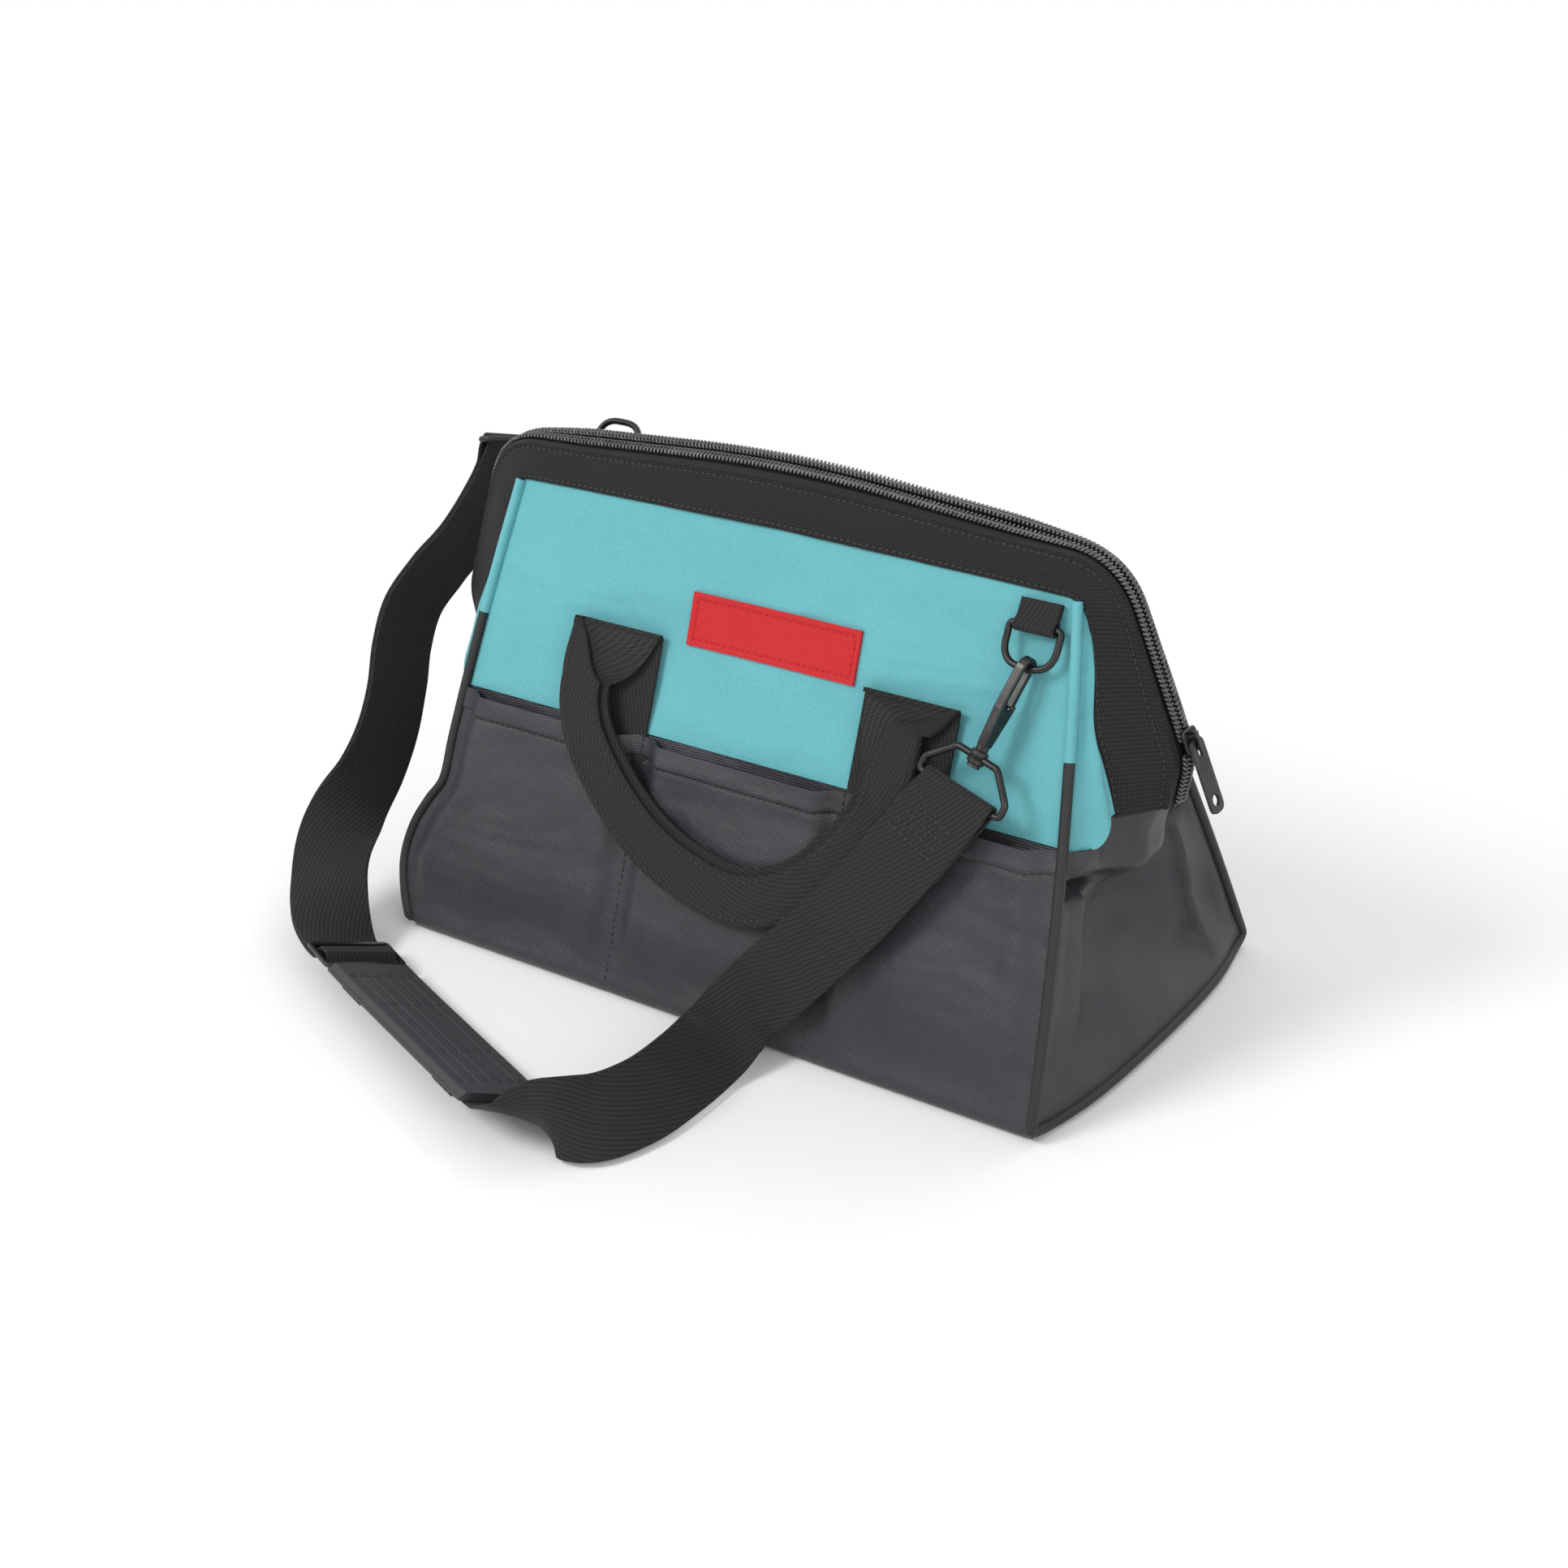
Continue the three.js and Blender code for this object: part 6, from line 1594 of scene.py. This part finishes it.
def area_light(name, place, target, size, power):
    lamp = bpy.data.lights.new(name, "AREA")
    lamp.shape = "DISK"
    lamp.size = size
    lamp.energy = power
    obj = new_object(name, lamp)
    obj.location = place
    obj.rotation_euler = (Vector(target) - Vector(place)).to_track_quat("-Z", "Y").to_euler()
    return obj


def photo_camera():
    azimuth, elevation, roll = (math.radians(v) for v in (CAMERA_AZIMUTH, CAMERA_ELEVATION, CAMERA_ROLL))
    level = math.cos(elevation)
    behind = np.array([math.sin(azimuth) * level, -math.cos(azimuth) * level, math.sin(elevation)])
    right = np.array([math.cos(azimuth), math.sin(azimuth), 0])
    up = np.cross(behind, right)
    right, up = right * math.cos(roll) + up * math.sin(roll), up * math.cos(roll) - right * math.sin(roll)
    place = (np.array(CAMERA_TARGET) + behind * CAMERA_DISTANCE) * MM
    camera = bpy.data.cameras.new("Photo camera")
    camera.lens = CAMERA_LENS
    camera.sensor_width = 36
    camera.sensor_fit = "HORIZONTAL"
    obj = new_object("Photo camera", camera)
    turn = Matrix(np.stack([right, up, behind], axis=1).tolist())
    obj.matrix_world = Matrix.Translation(Vector(place)) @ turn.to_4x4()
    bpy.context.scene.camera = obj
    return obj


def floor_material():
    """Pale floor near the bag that runs out into the plain white backdrop."""
    made, tree, shader = new_material("Pale studio floor", 0.9, Specular_IOR_Level=0.1)
    shader.inputs["Base Color"].default_value = linear("FFFFFF")
    place = add_node(tree, "ShaderNodeTexCoord", output="Object")
    away = add_node(tree, "ShaderNodeVectorMath", {0: place}, "Value", operation="LENGTH")
    far = add_node(tree, "ShaderNodeMapRange", {"Value": away, "From Min": 0.3, "From Max": 0.8})
    rays = tree.nodes.new("ShaderNodeLightPath")
    share = add_node(tree, "ShaderNodeMath", {0: far, 1: rays.outputs["Is Camera Ray"]},
                     operation="MULTIPLY")
    glow = add_node(tree, "ShaderNodeEmission", {"Color": linear("FFFFFF"), "Strength": 1.0})
    shown = add_node(tree, "ShaderNodeMixShader", {0: share, 1: shader.outputs[0], 2: glow})
    out = next(node for node in tree.nodes if node.bl_idname == "ShaderNodeOutputMaterial")
    tree.links.new(shown, out.inputs[0])
    return made


def floor_plane():
    mesh = bpy.data.meshes.new("floor")
    corners = ((-1, -1), (1, -1), (1, 1), (-1, 1))
    points = [(x * FLOOR_HALF, y * FLOOR_HALF, FLOOR_LEVEL) for x, y in corners]
    mesh.from_pydata(points, [], [(0, 1, 2, 3)])
    mesh.materials.append(floor_material())
    return new_object("floor", mesh)


def make_stage():
    white_world()
    lamps = [
        area_light("Key light", (-0.9, -1.4, 1.7), (0, 0, 0.1), 0.9, 23),
        area_light("Fill light", (1.6, -1.1, 1.2), (0, 0, 0.1), 1.4, 9),
        area_light("Rim light", (0.3, 1.5, 1.6), (0, 0, 0.15), 1.2, 9),
    ]
    floor_plane()
    photo_camera()
    bpy.context.scene.view_settings.view_transform = "Standard"


# Properties, operators and panel

def colour_property(name, default):
    description = f"sRGB colour of the {name.lower()}"
    return bpy.props.StringProperty(name=name, description=description, default=default)


class ToolBagColours(bpy.types.PropertyGroup):
    """Colours of the bag's finishes, as six hexadecimal digits."""
    coated: colour_property("Coated cloth", "39393F")
    coated_valley: colour_property("Coated cloth between its cells", "212025")
    canvas: colour_property("Canvas", "79C3CA")
    canvas_valley: colour_property("Canvas between its threads", "58A2AA")
    webbing: colour_property("Webbing", "313130")
    webbing_valley: colour_property("Webbing between its threads", "0B0B0B")
    binding: colour_property("Ribbed binding", "262525")
    tape: colour_property("Zip tape", "171718")
    piping: colour_property("Piping", "202021")
    patch: colour_property("Patch", "D8262C")
    patch_valley: colour_property("Patch between its threads", "AE1A20")
    pad: colour_property("Pad", "424246")
    pad_valley: colour_property("Pad between its grains", "343437")
    board: colour_property("Stiffener board", "202124")
    thread: colour_property("Sewing thread", "1C1C1C")
    hardware: colour_property("Coated hardware", "1F1F21")
    hardware_worn: colour_property("Worn edges of the hardware", "77736F")
    steel: colour_property("Spring steel", "8C8F93")
    steel_worn: colour_property("Rubbed spring steel", "B4B6B9")
    coil: colour_property("Zip coil", "3C3C3F")
    # Paler edge colour of the zip coil: a painted highlight
    coil_highlight: colour_property("Painted highlight on the zip coil", "8A8A8E")


def length_property(name, description, default):
    return bpy.props.FloatProperty(name=name, description=description, default=default, unit="LENGTH",
                                   subtype="DISTANCE")


class ToolBagSizes(bpy.types.PropertyGroup):
    """Sizes of the fine pieces that follow a path."""
    stitch_length: length_property("Stitch length", "Length of one stitch", 0.0026)
    stitch_width: length_property("Stitch width", "Width of the sewing thread", 0.00075)
    stitch_pitch: length_property("Stitch pitch", "Distance from one stitch to the next", 0.0034)
    coil_pitch: length_property("Coil pitch", "Distance from one turn of the zip coil to the next", 0.0021)
    coil_wire: length_property("Coil filament", "Diameter of the zip coil's filament", 0.00115)


class TOOLBAG_OT_materials(bpy.types.Operator):
    """Make the procedural finishes from the chosen colours"""
    bl_idname = "toolbag.materials"
    bl_label = "Make finishes"

    def execute(self, context):
        make_materials()
        return {"FINISHED"}


class TOOLBAG_OT_pockets(bpy.types.Operator):
    """Build the pocket cloths, the walls behind them and the bottom cloth"""
    bl_idname = "toolbag.pockets"
    bl_label = "Build pockets and bottom"

    def execute(self, context):
        for side, name in SIDES:
            make_pocket(side, name)
            make_lower_wall(side, name)
        make_bottom()
        return {"FINISHED"}


class TOOLBAG_OT_canvas(bpy.types.Operator):
    """Build the canvas panels, their gussets and the patch"""
    bl_idname = "toolbag.canvas"
    bl_label = "Build canvas"

    def execute(self, context):
        for side, name in SIDES:
            make_canvas(side, name)
            for end, end_name in ENDS:
                make_gusset(end, end_name, side, name)
        make_patch()
        return {"FINISHED"}


class TOOLBAG_OT_ends(bpy.types.Operator):
    """Build the end walls, their folds and the piping"""
    bl_idname = "toolbag.ends"
    bl_label = "Build ends and piping"

    def execute(self, context):
        for end, name in ENDS:
            make_end(end, name)
            for side, side_name in SIDES:
                make_piping(end, name, side, side_name)
        return {"FINISHED"}


class TOOLBAG_OT_mouth(bpy.types.Operator):
    """Build the bands, the zip's tapes and coils and its slider"""
    bl_idname = "toolbag.mouth"
    bl_label = "Build mouth and zip"

    def execute(self, context):
        for side, name in SIDES:
            make_band(side, name)
            make_tape(side, name)
            make_coil(side, name)
        make_slider()
        return {"FINISHED"}


class TOOLBAG_OT_handles(bpy.types.Operator):
    """Build the webbing handles with their folded grips"""
    bl_idname = "toolbag.handles"
    bl_label = "Build handles"

    def execute(self, context):
        for side, name in SIDES:
            for k, centre in enumerate(HANDLE_CENTRES):
                half = ("left", "right")[k if side == FRONT else 1 - k]
                make_handle_root(centre, side, f"{name}_handle_{half}_root")
            make_grip(side, name)
        return {"FINISHED"}


class TOOLBAG_OT_hardware(bpy.types.Operator):
    """Build the ring loops, D-rings, snap hooks and swivel rings"""
    bl_idname = "toolbag.hardware"
    bl_label = "Build strap hardware"

    def execute(self, context):
        make_hanger("front", FRONT_LOOP, FRONT_HANGER, FRONT_CHAIN)
        make_hanger("back", BACK_LOOP, BACK_HANGER, BACK_SWIVEL)
        return {"FINISHED"}


class TOOLBAG_OT_strap(bpy.types.Operator):
    """Build the shoulder strap, its pad, keepers and tri-glide"""
    bl_idname = "toolbag.strap"
    bl_label = "Build shoulder strap"

    def execute(self, context):
        make_strap()
        make_pad_group()
        return {"FINISHED"}


class TOOLBAG_OT_stitching(bpy.types.Operator):
    """Sew the visible stitch lines and finish the inner solids"""
    bl_idname = "toolbag.stitching"
    bl_label = "Sew stitch lines"

    def execute(self, context):
        make_stitching()
        finish_inner_pieces()
        return {"FINISHED"}


class TOOLBAG_OT_stage(bpy.types.Operator):
    """Set the floor, the lights and the camera"""
    bl_idname = "toolbag.stage"
    bl_label = "Set the stage"

    def execute(self, context):
        make_stage()
        return {"FINISHED"}


STEPS = (
    TOOLBAG_OT_materials, TOOLBAG_OT_pockets, TOOLBAG_OT_canvas, TOOLBAG_OT_ends, TOOLBAG_OT_mouth,
    TOOLBAG_OT_handles, TOOLBAG_OT_hardware, TOOLBAG_OT_strap, TOOLBAG_OT_stitching, TOOLBAG_OT_stage,
)


class TOOLBAG_PT_panel(bpy.types.Panel):
    """Sidebar panel with the bag's sizes, colours and building steps"""
    bl_label = "Tool Bag"
    bl_idname = "TOOLBAG_PT_panel"
    bl_space_type = "VIEW_3D"
    bl_region_type = "UI"
    bl_category = "Tool Bag"

    def draw(self, context):
        column = self.layout.column()
        for group in (context.scene.tool_bag_sizes, context.scene.tool_bag_colours):
            for key in group.__annotations__:
                column.prop(group, key)
        for step in STEPS:
            column.operator(step.bl_idname)


CLASSES = (ToolBagColours, ToolBagSizes, *STEPS, TOOLBAG_PT_panel)


def register():
    for item in CLASSES:
        bpy.utils.register_class(item)
    bpy.types.Scene.tool_bag_colours = bpy.props.PointerProperty(type=ToolBagColours)
    bpy.types.Scene.tool_bag_sizes = bpy.props.PointerProperty(type=ToolBagSizes)


def unregister():
    del bpy.types.Scene.tool_bag_sizes
    del bpy.types.Scene.tool_bag_colours
    for item in reversed(CLASSES):
        bpy.utils.unregister_class(item)


def main():
    register()
    bpy.ops.toolbag.materials()
    bpy.ops.toolbag.pockets()
    bpy.ops.toolbag.canvas()
    bpy.ops.toolbag.ends()
    bpy.ops.toolbag.mouth()
    bpy.ops.toolbag.handles()
    bpy.ops.toolbag.hardware()
    bpy.ops.toolbag.strap()
    bpy.ops.toolbag.stitching()
    bpy.ops.toolbag.stage()
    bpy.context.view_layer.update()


if __name__ == "__main__":
    main()
